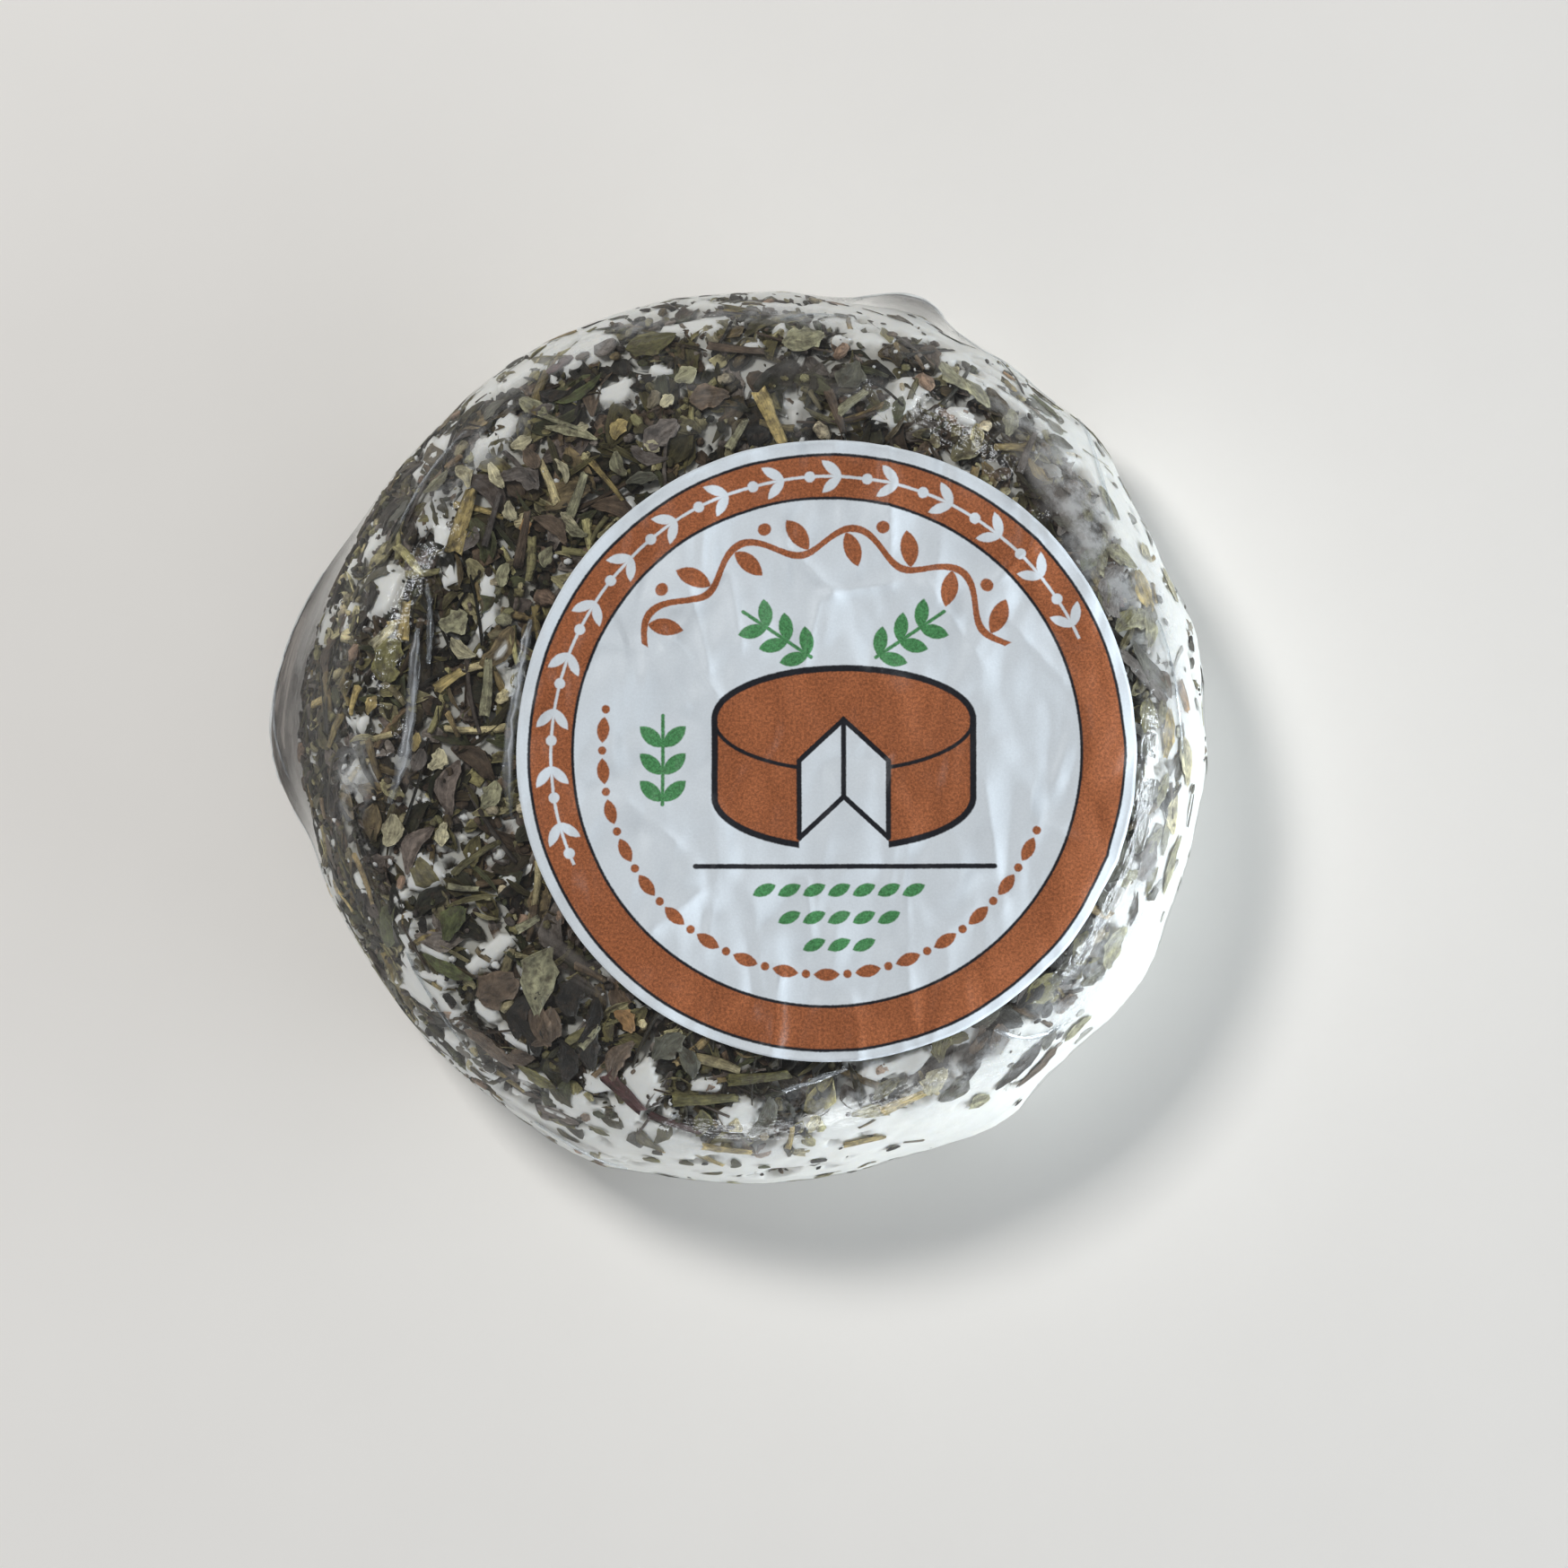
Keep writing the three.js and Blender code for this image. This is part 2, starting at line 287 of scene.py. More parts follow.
def top_wave(x, y):
    """The slow waves of the hand-pressed top."""
    x, y = x / mm, y / mm
    slow = np.sin(0.11 * x + 0.6) * np.cos(0.13 * y - 0.4)
    return (0.22 * slow + 0.1 * np.sin(0.21 * y + 0.09 * x)) * mm


def flat_share(height):
    """How much of the top's waves show at a height, from none on the side to all on the flat."""
    share = np.clip((height - flat_from) / flat_in, 0, 1)
    return share * share * (3 - 2 * share)


def on_form(theta, climb, out):
    """Points at a height out from the wrapped round's form, at an angle and a length along the profile."""
    inset, height, out_in, out_up = profile_at(climb)
    radius = reach(theta) - inset - out * out_in
    x, y = radius * np.cos(theta), radius * np.sin(theta)
    z = height + out * out_up + flat_share(height) * top_wave(x, y)
    return np.stack([x + middle[0], y + middle[1], z], -1)


def from_form(place):
    """The angle, the length along the profile and the height out of it, of points near the form."""
    x, y = place[:, 0] - middle[0], place[:, 1] - middle[1]
    theta = np.arctan2(y, x)
    inset = reach(theta) - np.hypot(x, y)
    height = place[:, 2] - flat_share(place[:, 2]) * top_wave(x, y)
    climb, out = np.empty(len(place)), np.empty(len(place))
    steps = np.linspace(0, curve_length, 700)
    step_inset, step_height, step_in, step_up = profile_at(steps)
    batch = 20000
    for start in range(0, len(place), batch):
        part = slice(start, start + batch)
        gap_in = inset[part, None] - step_inset
        gap_up = height[part, None] - step_height
        near = np.argmin(gap_in ** 2 + gap_up ** 2, axis=1)
        row = np.arange(len(near))
        gap_in, gap_up = gap_in[row, near], gap_up[row, near]
        out[part] = gap_in * step_in[near] + gap_up * step_up[near]
        climb[part] = steps[near] - gap_in * step_up[near] + gap_up * step_in[near]
    return theta, climb, out


def out_direction(theta, climb):
    _, _, out_in, out_up = profile_at(climb)
    return np.stack([-out_in * np.cos(theta), -out_in * np.sin(theta), out_up], -1)


def cloud(place, size, octaves=3, seed=0):
    """Cloudy noise from about -1 to 1, of a size in metres."""
    shift = Vector((seed * 7.3, seed * 3.1, -seed * 5.7))
    return np.array([noise.fractal(Vector(p) / size + shift, 1, 2, octaves) for p in place])


def under_pixel(across, down):
    """The angle and the length along the profile of the place that a pixel of the photograph shows."""
    on_sensor = ((across / picture_px - 0.5) * sensor, (0.5 - down / picture_px) * sensor, -lens, 0)
    ray = camera_turn @ Vector(on_sensor)
    height = top_middle
    for _ in range(40):
        x, y = (camera.location + ray.xyz * (height - camera.location.z) / ray.z).xy - Vector(middle)
        theta = math.atan2(y, x)
        inset = max(float(reach(theta)) - math.hypot(x, y), 0)
        found = np.interp(climb_at(inset), climb_table, curve[:, 1])
        height += 0.4 * (float(found) - height)
    return theta, float(climb_at(inset))


# Where the curd shows bare among the herbs: the pixel of the photograph at its middle, half its length and
# half its width in mm, and how its length is turned, in degrees anticlockwise from level.
bare_patches = [
    (419, 651, 3.0, 1.7, -20), (543, 668, 2.7, 0.7, 85), (469, 975, 2.4, 1.1, 32), (396, 984, 1.2, 0.4, -50),
    (442, 1002, 1.3, 0.5, 15), (451, 1040, 1.9, 0.8, 80), (546, 1062, 1.6, 0.7, 35),
    (479, 1063, 1.5, 0.6, -30), (472, 1109, 2.3, 1.6, -35), (568, 1160, 1.1, 0.35, -35),
    (527, 1186, 2.6, 0.7, -45), (608, 1212, 0.9, 0.4, -20), (635, 1237, 2.5, 1.2, 20),
    (661, 1211, 1.1, 0.8, 60), (715, 1210, 1.7, 1.0, -20), (702, 1268, 3.0, 1.3, -22),
    (756, 1280, 3.4, 1.2, -12), (822, 1254, 1.4, 1.2, 60), (811, 1304, 3.6, 1.0, 0), (889, 1294, 3.4, 1.7, 5),
    (948, 1250, 2.4, 1.8, 10), (1015, 1268, 4.2, 2.0, 15), (787, 1211, 1.0, 0.6, 0),
    (1001, 1190, 3.0, 0.7, 12), (1080, 1150, 1.6, 0.9, 40), (1113, 1236, 4.0, 1.5, 22),
    (1180, 1190, 3.2, 1.1, 40), (1230, 1140, 4.0, 1.8, 48), (1296, 1052, 4.0, 1.5, 62),
    (1306, 1010, 2.0, 1.0, 70), (1286, 940, 1.4, 1.0, 80), (1323, 896, 3.0, 0.9, 82),
    (1285, 874, 1.5, 1.2, 0), (1289, 830, 1.6, 1.3, 0), (1314, 788, 2.6, 1.3, 85), (1314, 729, 2.6, 1.4, 95),
    (1302, 671, 2.2, 1.2, 115), (1256, 604, 1.3, 1.0, 0), (1253, 574, 2.8, 1.5, 115),
    (1248, 535, 1.5, 0.9, 120), (1185, 460, 1.7, 0.8, 150), (1110, 426, 1.6, 0.9, 120),
    (1079, 416, 1.4, 0.5, 110), (1076, 462, 1.3, 0.6, 150), (1003, 447, 2.0, 1.1, 40),
    (1022, 427, 1.0, 0.7, 0), (1003, 351, 4.6, 1.4, -22), (838, 335, 3.4, 0.6, 2), (769, 361, 1.9, 0.5, 0),
    (733, 411, 0.7, 0.5, 0), (920, 354, 0.8, 0.5, 0), (683, 437, 1.3, 0.9, 20), (645, 390, 3.2, 1.5, 20),
    (588, 406, 3.0, 1.5, 32), (540, 434, 1.7, 0.9, 42), (565, 475, 1.5, 0.8, 75), (549, 492, 1.0, 0.5, 10),
    (530, 503, 1.1, 0.5, 70), (480, 500, 1.9, 1.0, 40), (488, 594, 1.8, 0.6, 100), (408, 612, 1.2, 0.6, 60),
    (430, 704, 1.4, 0.5, 40), (381, 690, 1.3, 0.4, 85), (500, 640, 0.9, 0.5, 60), (560, 728, 1.1, 0.5, 80),
    (474, 572, 1.4, 0.6, 80), (517, 593, 0.9, 0.4, 0), (1240, 1098, 1.6, 1.0, 50), (700, 345, 2.4, 0.5, 15),
]

# Round the side the herbs lie thinly all the way from the lower left to the top: angle anticlockwise from
# +X, how bare it is there, and how far in from the outline that reaches, in mm.
bare_rim = np.array([
    (0, 0.7, 2.4), (30, 0.65, 2.2), (48, 0.6, 1.4), (62, 0.75, 0.9), (76, 1.0, 1.3), (88, 0.75, 0.8),
    (108, 0.95, 1.1), (126, 0.85, 1.1), (136, 0.1, 0.5), (205, 0.0, 0.5), (218, 0.3, 0.6), (240, 0.65, 1.0),
    (256, 0.95, 1.6), (285, 1.0, 2.4), (325, 1.0, 2.2), (345, 0.75, 2.0), (360, 0.7, 2.4),
])
rim_fade = 1.6  # mm from there to where the herbs lie close again
rim_bares = 0.62  # how much of the cover a bare rim takes away
cover_on_top = 0.98
cover_on_side = ((0.5, 0.4), (0.4, 0.36))  # upper and lower side: at the right, and more at the left
upper_side = 15 * mm
leftmost = math.radians(160)
top_from, top_in = 3.5 * mm, 4 * mm  # how far in the cover turns into the top's, and over what width
label_hem = 24  # mm from the label's middle: the herbs lie close along that line at the right
bare_under, close_over = 0.38, 0.2  # bare below this cover, and close with so much more


def rim_bareness(theta, climb):
    """How bare the curd is round the side, from 0 to 1."""
    turn_now = np.mod(np.degrees(theta), 360)
    bare, bare_in = (np.interp(turn_now, bare_rim[:, 0], bare_rim[:, k]) for k in (1, 2))
    inset, height, _, _ = profile_at(climb)
    over_rim = np.where(height > widest_at, inset / mm - bare_in, 0)
    return bare * np.clip(1 - over_rim / rim_fade, 0, 1)


def on_right(theta):
    """1 along the right flank, where the curd shows most, and 0 from the top round the left to the bottom."""
    return np.clip(2 * np.cos(theta + math.radians(8)) - 0.8, 0, 1)


def off_patch(place, across, down, half_long, half_wide, angle):
    """How far places lie from the middle of a patch under a pixel, where 1 is on its rim."""
    patch = on_form(*(np.array([k]) for k in under_pixel(across, down)), 0)[0]
    gap = place - patch
    along_gap = gap @ np.array([math.cos(math.radians(angle)), math.sin(math.radians(angle)), 0])
    across_gap = np.sqrt(np.maximum((gap ** 2).sum(1) - along_gap ** 2, 0))
    return np.hypot(along_gap / (half_long * mm), across_gap / (half_wide * mm))


def herb_cover(theta, climb):
    """How closely the herbs lie, from 0, bare curd, to 1. They lie closer along the label's right edge."""
    place = on_form(theta, climb, 0)
    off_hem = np.hypot(*(place[:, :2] - middle - label_middle).T) / mm - label_hem
    inset, height, _, _ = profile_at(climb)
    left = 0.5 + 0.5 * np.cos(theta - leftmost)
    flat = np.clip((inset - top_from) / top_in, 0, 1) * (height > widest_at)
    side = np.where(height > upper_side, *(least + more * left for least, more in cover_on_side))
    cover = side + (cover_on_top - side) * flat
    cover -= rim_bares * rim_bareness(theta, climb)
    cover += 0.3 * on_right(theta) * np.clip(1.6 - np.abs(off_hem - 1.2) / 1.8, 0, 1)
    cover += 0.5 * cloud(place, 7.5 * mm, 3, 1) + 0.5 * cloud(place, 2.1 * mm, 2, 2)
    rough = 1 + 0.55 * cloud(place, 1.8 * mm, 2, 3)
    for patch in bare_patches:
        cover -= 1.5 * np.clip(1.5 - off_patch(place, *patch) * rough, 0, 1)
    return np.clip((cover - bare_under) / close_over, 0, 1)


def grid_of(sides, climbs):
    """Angle and climb at each point of a grid of rings round the form."""
    turn = np.arange(sides) * 2 * math.pi / sides
    return np.broadcast_to(turn, (len(climbs), sides)), np.repeat(climbs[:, None], sides, 1)


def wound_mesh(name, rings, first_pole, last_pole):
    """A closed mesh from rings of points, the first and the last closed on a point."""
    rows, sides = rings.shape[:2]
    points = np.concatenate([rings.reshape(-1, 3), [first_pole, last_pole]])
    index = np.arange(rows * sides).reshape(rows, sides)
    beside = np.roll(index, -1, axis=1)
    quads = np.stack([index[:-1], beside[:-1], beside[1:], index[1:]], -1).reshape(-1, 4)
    first = np.stack([np.full(sides, rows * sides), beside[0], index[0]], -1)
    last = np.stack([np.full(sides, rows * sides + 1), index[-1], beside[-1]], -1)
    mesh = bpy.data.meshes.new(name)
    mesh.from_pydata(points.tolist(), [], quads.tolist() + first.tolist() + last.tolist())
    mesh.shade_smooth()
    return mesh


def give_attribute(mesh, name, values):
    mesh.attributes.new(name, "FLOAT", "POINT").data.foreach_set("value", values.astype(np.float32))


def attribute_of(tree, name):
    return node(tree, "ShaderNodeAttribute", attribute_name=name).outputs["Fac"]


def maths(tree, operation, *values):
    """A sum or another operation on one, two or three numbers."""
    return node(tree, "ShaderNodeMath", dict(enumerate(values)), operation=operation)


def sampled(grid, climbs, theta, climb):
    """A grid's value between its points, by straight steps."""
    rows, sides = grid.shape
    across = np.mod(theta, 2 * math.pi) * sides / (2 * math.pi)
    up = np.interp(climb, climbs, np.arange(rows))
    column, row = np.floor(across).astype(int), np.minimum(np.floor(up).astype(int), rows - 2)
    over, above = across - column, up - row
    a, b = column % sides, (column + 1) % sides
    lower = grid[row, a] * (1 - over) + grid[row, b] * over
    upper = grid[row + 1, a] * (1 - over) + grid[row + 1, b] * over
    return lower * (1 - above) + upper * above


def object_of(mesh, name):
    made = bpy.data.objects.new(name, mesh)
    bpy.context.scene.collection.objects.link(made)
    return made


rim_climb = round_radius - profile[0, 0]  # the base ends there
inner_climb = climb_at(22 * mm)
curd_climbs = np.concatenate([
    np.linspace(1.2 * mm, rim_climb - 1.2 * mm, 26),
    np.linspace(rim_climb - 0.4 * mm, inner_climb, 150),
    np.linspace(inner_climb + 1.2 * mm, curve_length - 1.2 * mm, 13),
])
curd_theta, curd_climb = grid_of(curd_sides, curd_climbs)
cover = herb_cover(curd_theta.ravel(), curd_climb.ravel()).reshape(curd_theta.shape)
curd_place = on_form(curd_theta.ravel(), curd_climb.ravel(), 0)
lumps = (cloud(curd_place, 3.2 * mm, 3, 4) * 0.12 + cloud(curd_place, 1.1 * mm, 2, 5) * 0.06) * mm
curd_out = -(curd_bare + (curd_depth - curd_bare) * cover) + lumps.reshape(cover.shape)
curd_plan = (curd_place[:, :2] - middle - label_middle).reshape(*cover.shape, 2)
from_label = np.hypot(*np.moveaxis(curd_plan, 2, 0))
under_label = np.clip((label_radius - 2.5 * mm - from_label) / (3 * mm), 0, 1)
under_label *= flat_share(profile_at(curd_climb)[1])
curd_out += (-curd_under_label - curd_out) * under_label
curd_out += curd_corner(curd_theta, curd_climb)
curd_rings = on_form(curd_theta, curd_climb, curd_out)
curd_rings[..., 2] = np.maximum(curd_rings[..., 2], curd_low)
curd_poles = [on_form(0, climb, -curd_depth) for climb in (0, curve_length)]
curd_mesh = wound_mesh("curd", curd_rings, *curd_poles)
give_attribute(curd_mesh, "covered", np.append(cover.ravel(), [1, 1]))

curd_paint, tree = material("fresh_curd")
place = node(tree, "ShaderNodeTexCoord").outputs["Object"]
broad = noisy(tree, place, 140, 4, 0.6)
stained = maths(tree, "MULTIPLY", attribute_of(tree, "covered"), broad)
colour = mixed(tree, stained, curd_white, curd_stained)
grain = noisy(tree, place, 1500, 5, 0.65)
pits = node(tree, "ShaderNodeTexVoronoi", {"Vector": place, "Scale": 420}, feature="SMOOTH_F1")
relief = maths(tree, "ADD", grain, pits)
bump = node(tree, "ShaderNodeBump", {"Height": relief, "Strength": 0.35, "Distance": 0.12 * mm})
surface = node(tree, "ShaderNodeBsdfPrincipled", {
    "Base Color": colour, "Roughness": 0.42, "Normal": bump,
    "Subsurface Weight": 0.35, "Subsurface Radius": (1.6, 1.4, 1.1), "Subsurface Scale": mm,
})
node(tree, "ShaderNodeOutputMaterial", {"Surface": surface})
curd_mesh.materials.append(curd_paint)
curd = object_of(curd_mesh, "curd_round")
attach(curd, "root")
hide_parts("wrapped_cheese")


# The herb coat. Crushed dried herbs pressed into the moist curd: curled leaf flakes, flat shards, needles,
# stalks, pale buds and crumbs. They are strewn kind by kind, and the film then presses them down.
rise_share = 0.5  # where the curd rises to a bare patch, the herbs rise this much of it, and so sink in
pressed_from = 0.78 * mm  # height over the deepest curd from which the film presses a piece down
pressed_most = 0.3 * mm
flush_over = 0.04 * mm  # height over bare curd of a piece pressed flush in it
flush_share = 0.22  # of the piece's own height that is left
hidden_under_label = 2.2 * mm  # in from the label's edge, from where no herbs are strewn, as none show
smear_height = 0.06 * mm  # over the curd, from which a piece stays clean
painted_light_on_right, veil_flush, flush_painted_light_on_right = 0.25, 0.25, 0.6  # how far wet curd veils a piece's colour, and how far painted light whitens it on the right flank
foot_low, foot_rise = 0.4 * mm, 1.5 * mm  # up to where the film is drawn in flat, and how soon it is free
foot_gap = 0.05 * mm  # how deep the film is drawn in there
foot_tuck = 0.16 * mm  # and how much deeper the herbs are
foot_squeeze = 0.1  # of a piece's own height that is left there
herb_highest = 1.2 * mm
herb_low = 0.07 * mm  # lowest place of a herb over the table
pleat_count = 31
pleat_deep = 0.5 * mm
pleats_from, pleats_in = 6 * mm, 16 * mm  # from the base's middle, and over what width they deepen
spot_colour = (0.06, 0.042, 0.028, 1)
# The smear colour also paints light: it whitens pieces along the right flank.
smear_and_painted_light_colour = (0.78, 0.79, 0.76, 1)


def sheet_mesh(name, over, under, edge, across, along):
    """A thin closed sheet from two grids of points, with how near its rim and where on it each point is."""
    rows, columns = over.shape[:2]
    count = rows * columns
    index = np.arange(count).reshape(rows, columns)
    quads = np.stack([index[:-1, :-1], index[1:, :-1], index[1:, 1:], index[:-1, 1:]], -1).reshape(-1, 4)
    rim = np.concatenate([index[:-1, 0], index[-1, :-1], index[:0:-1, -1], index[0, :0:-1]])
    on = np.roll(rim, -1)
    walls = np.stack([rim + count, on + count, on, rim], -1)
    faces = np.concatenate([quads, quads[:, ::-1] + count, walls])
    points = np.concatenate([over.reshape(-1, 3), under.reshape(-1, 3)])
    mesh = bpy.data.meshes.new(name)
    mesh.from_pydata(points.tolist(), [], faces.tolist())
    mesh.shade_smooth()
    for attribute, grid in (("edge", edge), ("across", across), ("along", along)):
        give_attribute(mesh, attribute, np.tile(grid.ravel(), 2))
    return mesh


def leaf_flake(name, length, width, fold, curl, arch, ragged, thick=0.11, rows=6, columns=5):
    """A dry leaf flake along X: folded on its midrib, its sides curled, arched end to end, its rim torn."""
    u = np.linspace(0, 1, rows)[:, None]
    v = np.linspace(-1, 1, columns)[None, :]
    blunt = draw(0.55, 1.1)
    half = np.sin(math.pi * (0.06 + 0.88 * u ** draw(0.75, 1.3))) ** blunt
    torn = 1 + ragged * draw(-1, 1, (rows, columns)) * np.abs(v)
    x = (u - 0.5) * length + 0 * v + ragged * draw(-0.12, 0.12, (rows, columns)) * length
    y = v * half * torn * width / 2
    sweep = draw(-0.18, 0.18) * length * (4 * (u - 0.5) ** 2)
    bend = np.abs(v) * half * width / 2
    z = fold * bend + curl * bend ** 2 / (width / 2) + arch * np.sin(math.pi * u) * length
    z = z + draw(-0.2, 0.2) * (u - 0.5) * y + ragged * draw(-0.1, 0.1, (rows, columns))
    y = (y + sweep) * (1 - 0.35 * np.clip(curl, 0, 1) * v ** 2)
    over = np.stack([x, y, z], -1) * mm
    thin = thick * (1 - 0.5 * np.abs(v)) * np.ones_like(u)
    under = over - np.stack([0 * thin, 0 * thin, thin], -1) * mm
    edge = np.maximum(np.abs(v), np.abs(2 * u - 1) ** 3) + 0 * u
    return sheet_mesh(name, over, under, edge, v + 0 * u, u * length + 0 * v)


def stalk_piece(name, length, radius, bow, sides=6, rows=5):
    """A dry stalk along X: bowed, tapered, ribbed and cut off raggedly."""
    u = np.linspace(0, 1, rows)[:, None]
    turn = (np.arange(sides) * 2 * math.pi / sides)[None, :]
    girth = radius * (1.1 - 0.35 * u) * (1 + 0.16 * np.cos(3 * turn))
    girth = girth * draw(0.86, 1.14, (rows, sides))
    x = (u - 0.5) * length + 0.5 * radius * draw(-1, 1, (rows, sides)) * ((u == 0) | (u == 1))
    y = girth * np.cos(turn) + bow * length * (4 * (u - 0.5) ** 2)
    z = 0.75 * girth * np.sin(turn) + 0.3 * bow * length * np.sin(math.pi * u)
    rings = np.stack([x, y, z], -1) * mm
    mesh = wound_mesh(name, rings, rings[0].mean(0), rings[-1].mean(0))
    face_outward(mesh)
    give_attribute(mesh, "edge", np.append(np.repeat(np.abs(2 * u[:, 0] - 1) ** 6, sides), [1, 1]))
    give_attribute(mesh, "across", np.append(np.tile(np.cos(turn[0]), rows), [0, 0]))
    give_attribute(mesh, "along", np.append(np.repeat(u[:, 0] * length, sides), [0, length]))
    return mesh


def face_outward(mesh):
    """Turns a closed mesh's faces out, where the volume that they hold comes out negative."""
    volume = 0
    for face in mesh.polygons:
        a, *others = (mesh.vertices[k].co for k in face.vertices)
        for b, c in zip(others, others[1:]):
            volume += a.dot(b.cross(c))
    if volume < 0:
        mesh.flip_normals()


def bud_piece(name, size, sides=6):
    """A crumb or bud: a small uneven lump of twenty faces or so."""
    u = np.linspace(-0.8, 0.8, 3)[:, None]
    turn = (np.arange(sides) * 2 * math.pi / sides)[None, :] + 0.5 * u
    girth = np.sqrt(1 - u ** 2) * draw(0.7, 1.2, (3, sides))
    rings = np.stack([u * 1.25 + 0 * turn, girth * np.cos(turn), 0.72 * girth * np.sin(turn)], -1)
    mesh = wound_mesh(name, rings * size / 2 * mm, (-0.6 * size * mm, 0, 0), (0.6 * size * mm, 0, 0))
    face_outward(mesh)
    give_attribute(mesh, "edge", np.append(np.repeat(np.abs(u[:, 0]), sides), [1, 1]))
    give_attribute(mesh, "across", np.append(np.tile(np.cos(turn[1]), 3), [0, 0]))
    give_attribute(mesh, "along", np.append(np.repeat(u[:, 0] * size, sides), [-size, size]))
    return mesh


def scaled(tree, vector, by):
    return node(tree, "ShaderNodeVectorMath", {0: vector, "Scale": by}, operation="SCALE")


def strewing_tree():
    """Strews a collection's pieces over a ground by its density, turned, lifted and tinted at random."""
    tree = bpy.data.node_groups.new("strew_herbs", "GeometryNodeTree")
    tree.is_modifier = True
    for name, kind in (
        ("Ground", "Geometry"), ("Kind", "Collection"), ("Pieces per m2", "Float"), ("Smallest", "Float"),
        ("Largest", "Float"), ("Lowest", "Float"), ("Highest", "Float"), ("Lean", "Float"), ("Seed", "Int"),
        ("Finish", "Material"),
    ):
        tree.interface.new_socket(name=name, in_out="INPUT", socket_type="NodeSocket" + kind)
    tree.interface.new_socket(name="Pieces", in_out="OUTPUT", socket_type="NodeSocketGeometry")
    given = node(tree, "NodeGroupInput").outputs

    def by_chance(least, most, salt, data_type="FLOAT"):
        first = {"FLOAT_VECTOR": 0, "FLOAT": 2, "INT": 4}[data_type]
        seed = maths(tree, "ADD", given["Seed"], salt)
        spans = {first: least, first + 1: most, 8: seed}
        return node(tree, "FunctionNodeRandomValue", spans, data_type=data_type).outputs[first // 2]

    def turned_by(rotation, **angles):
        angle = node(tree, "FunctionNodeEulerToRotation", {0: node(tree, "ShaderNodeCombineXYZ", angles)})
        return node(tree, "FunctionNodeRotateRotation", {0: rotation, 1: angle}, rotation_space="LOCAL")

    density = node(tree, "GeometryNodeInputNamedAttribute", {"Name": "density"}, data_type="FLOAT")
    strewn = node(tree, "GeometryNodeDistributePointsOnFaces", {
        "Mesh": given["Ground"], "Seed": given["Seed"],
        "Density": maths(tree, "MULTIPLY", given["Pieces per m2"], density.outputs["Attribute"]),
    }, distribute_method="RANDOM")
    lifted = node(tree, "GeometryNodeSetPosition", {
        "Geometry": strewn.outputs["Points"],
        "Offset": scaled(tree, strewn.outputs["Normal"], by_chance(given["Lowest"], given["Highest"], 11)),
    })
    tip_x, tip_y = (maths(tree, "MULTIPLY", given["Lean"], by_chance(-1.0, 1.0, salt)) for salt in (21, 22))
    spun = turned_by(strewn.outputs["Rotation"], Z=by_chance(0.0, 2 * math.pi, 23))
    kinds = node(tree, "GeometryNodeCollectionInfo", {
        "Collection": given["Kind"], "Separate Children": True, "Reset Children": True,
    })
    shown = node(tree, "GeometryNodeInstanceOnPoints", {
        "Points": lifted, "Instance": kinds, "Pick Instance": True,
        "Instance Index": by_chance(0, 999, 31, "INT"), "Rotation": turned_by(spun, X=tip_x, Y=tip_y),
        "Scale": by_chance(given["Smallest"], given["Largest"], 32),
    })
    for name, salt in (("tint", 41), ("tone", 42)):
        store = node(tree, "GeometryNodeStoreNamedAttribute", {"Geometry": shown, "Name": name},
                     data_type="FLOAT", domain="INSTANCE")
        value = [socket for socket in store.inputs if socket.name == "Value" and socket.enabled][0]
        tree.links.new(by_chance(0.0, 1.0, salt), value)
        shown = store
    real = node(tree, "GeometryNodeRealizeInstances", {"Geometry": shown})
    finished = node(tree, "GeometryNodeSetMaterial", {"Geometry": real, "Material": given["Finish"]})
    node(tree, "NodeGroupOutput", {0: finished})
    return tree


strew = strewing_tree()
strew_inputs = {s.name: s.identifier for s in strew.interface.items_tree if s.in_out == "INPUT"}

ground_sides = 360
ground_climbs = np.concatenate([
    np.linspace(1.6 * mm, rim_climb - mm, 24),
    np.linspace(rim_climb, climb_at(16 * mm), 96),
    np.linspace(climb_at(17 * mm), curve_length - 8 * mm, 14),
])
ground_theta, ground_climb = (grid.ravel() for grid in grid_of(ground_sides, ground_climbs))
ground_cover = sampled(cover, curd_climbs, ground_theta, ground_climb)
ground_corner = curd_corner(ground_theta, ground_climb)
ground_rise = sampled(curd_out, curd_climbs, ground_theta, ground_climb) - ground_corner + curd_depth
ground_height = profile_at(ground_climb)[1]
ground_plan = on_form(ground_theta, ground_climb, 0)[:, :2] - middle
ground_off_label = np.hypot(*(ground_plan - label_middle).T)
hidden = (ground_off_label < label_radius - hidden_under_label) & (ground_height > 18 * mm)
open_ground = np.where(hidden, 0, 1.0)
thin_at_rim, thin_on_right = 0.72, 0.78  # how many fewer pieces lie on the bare curd there
ground_thin = 1 - thin_at_rim * rim_bareness(ground_theta, ground_climb)
ground_thin *= 1 - thin_on_right * on_right(ground_theta)
base_share = 0.5  # how many lie on the base, of those that lie elsewhere
herb_objects = []


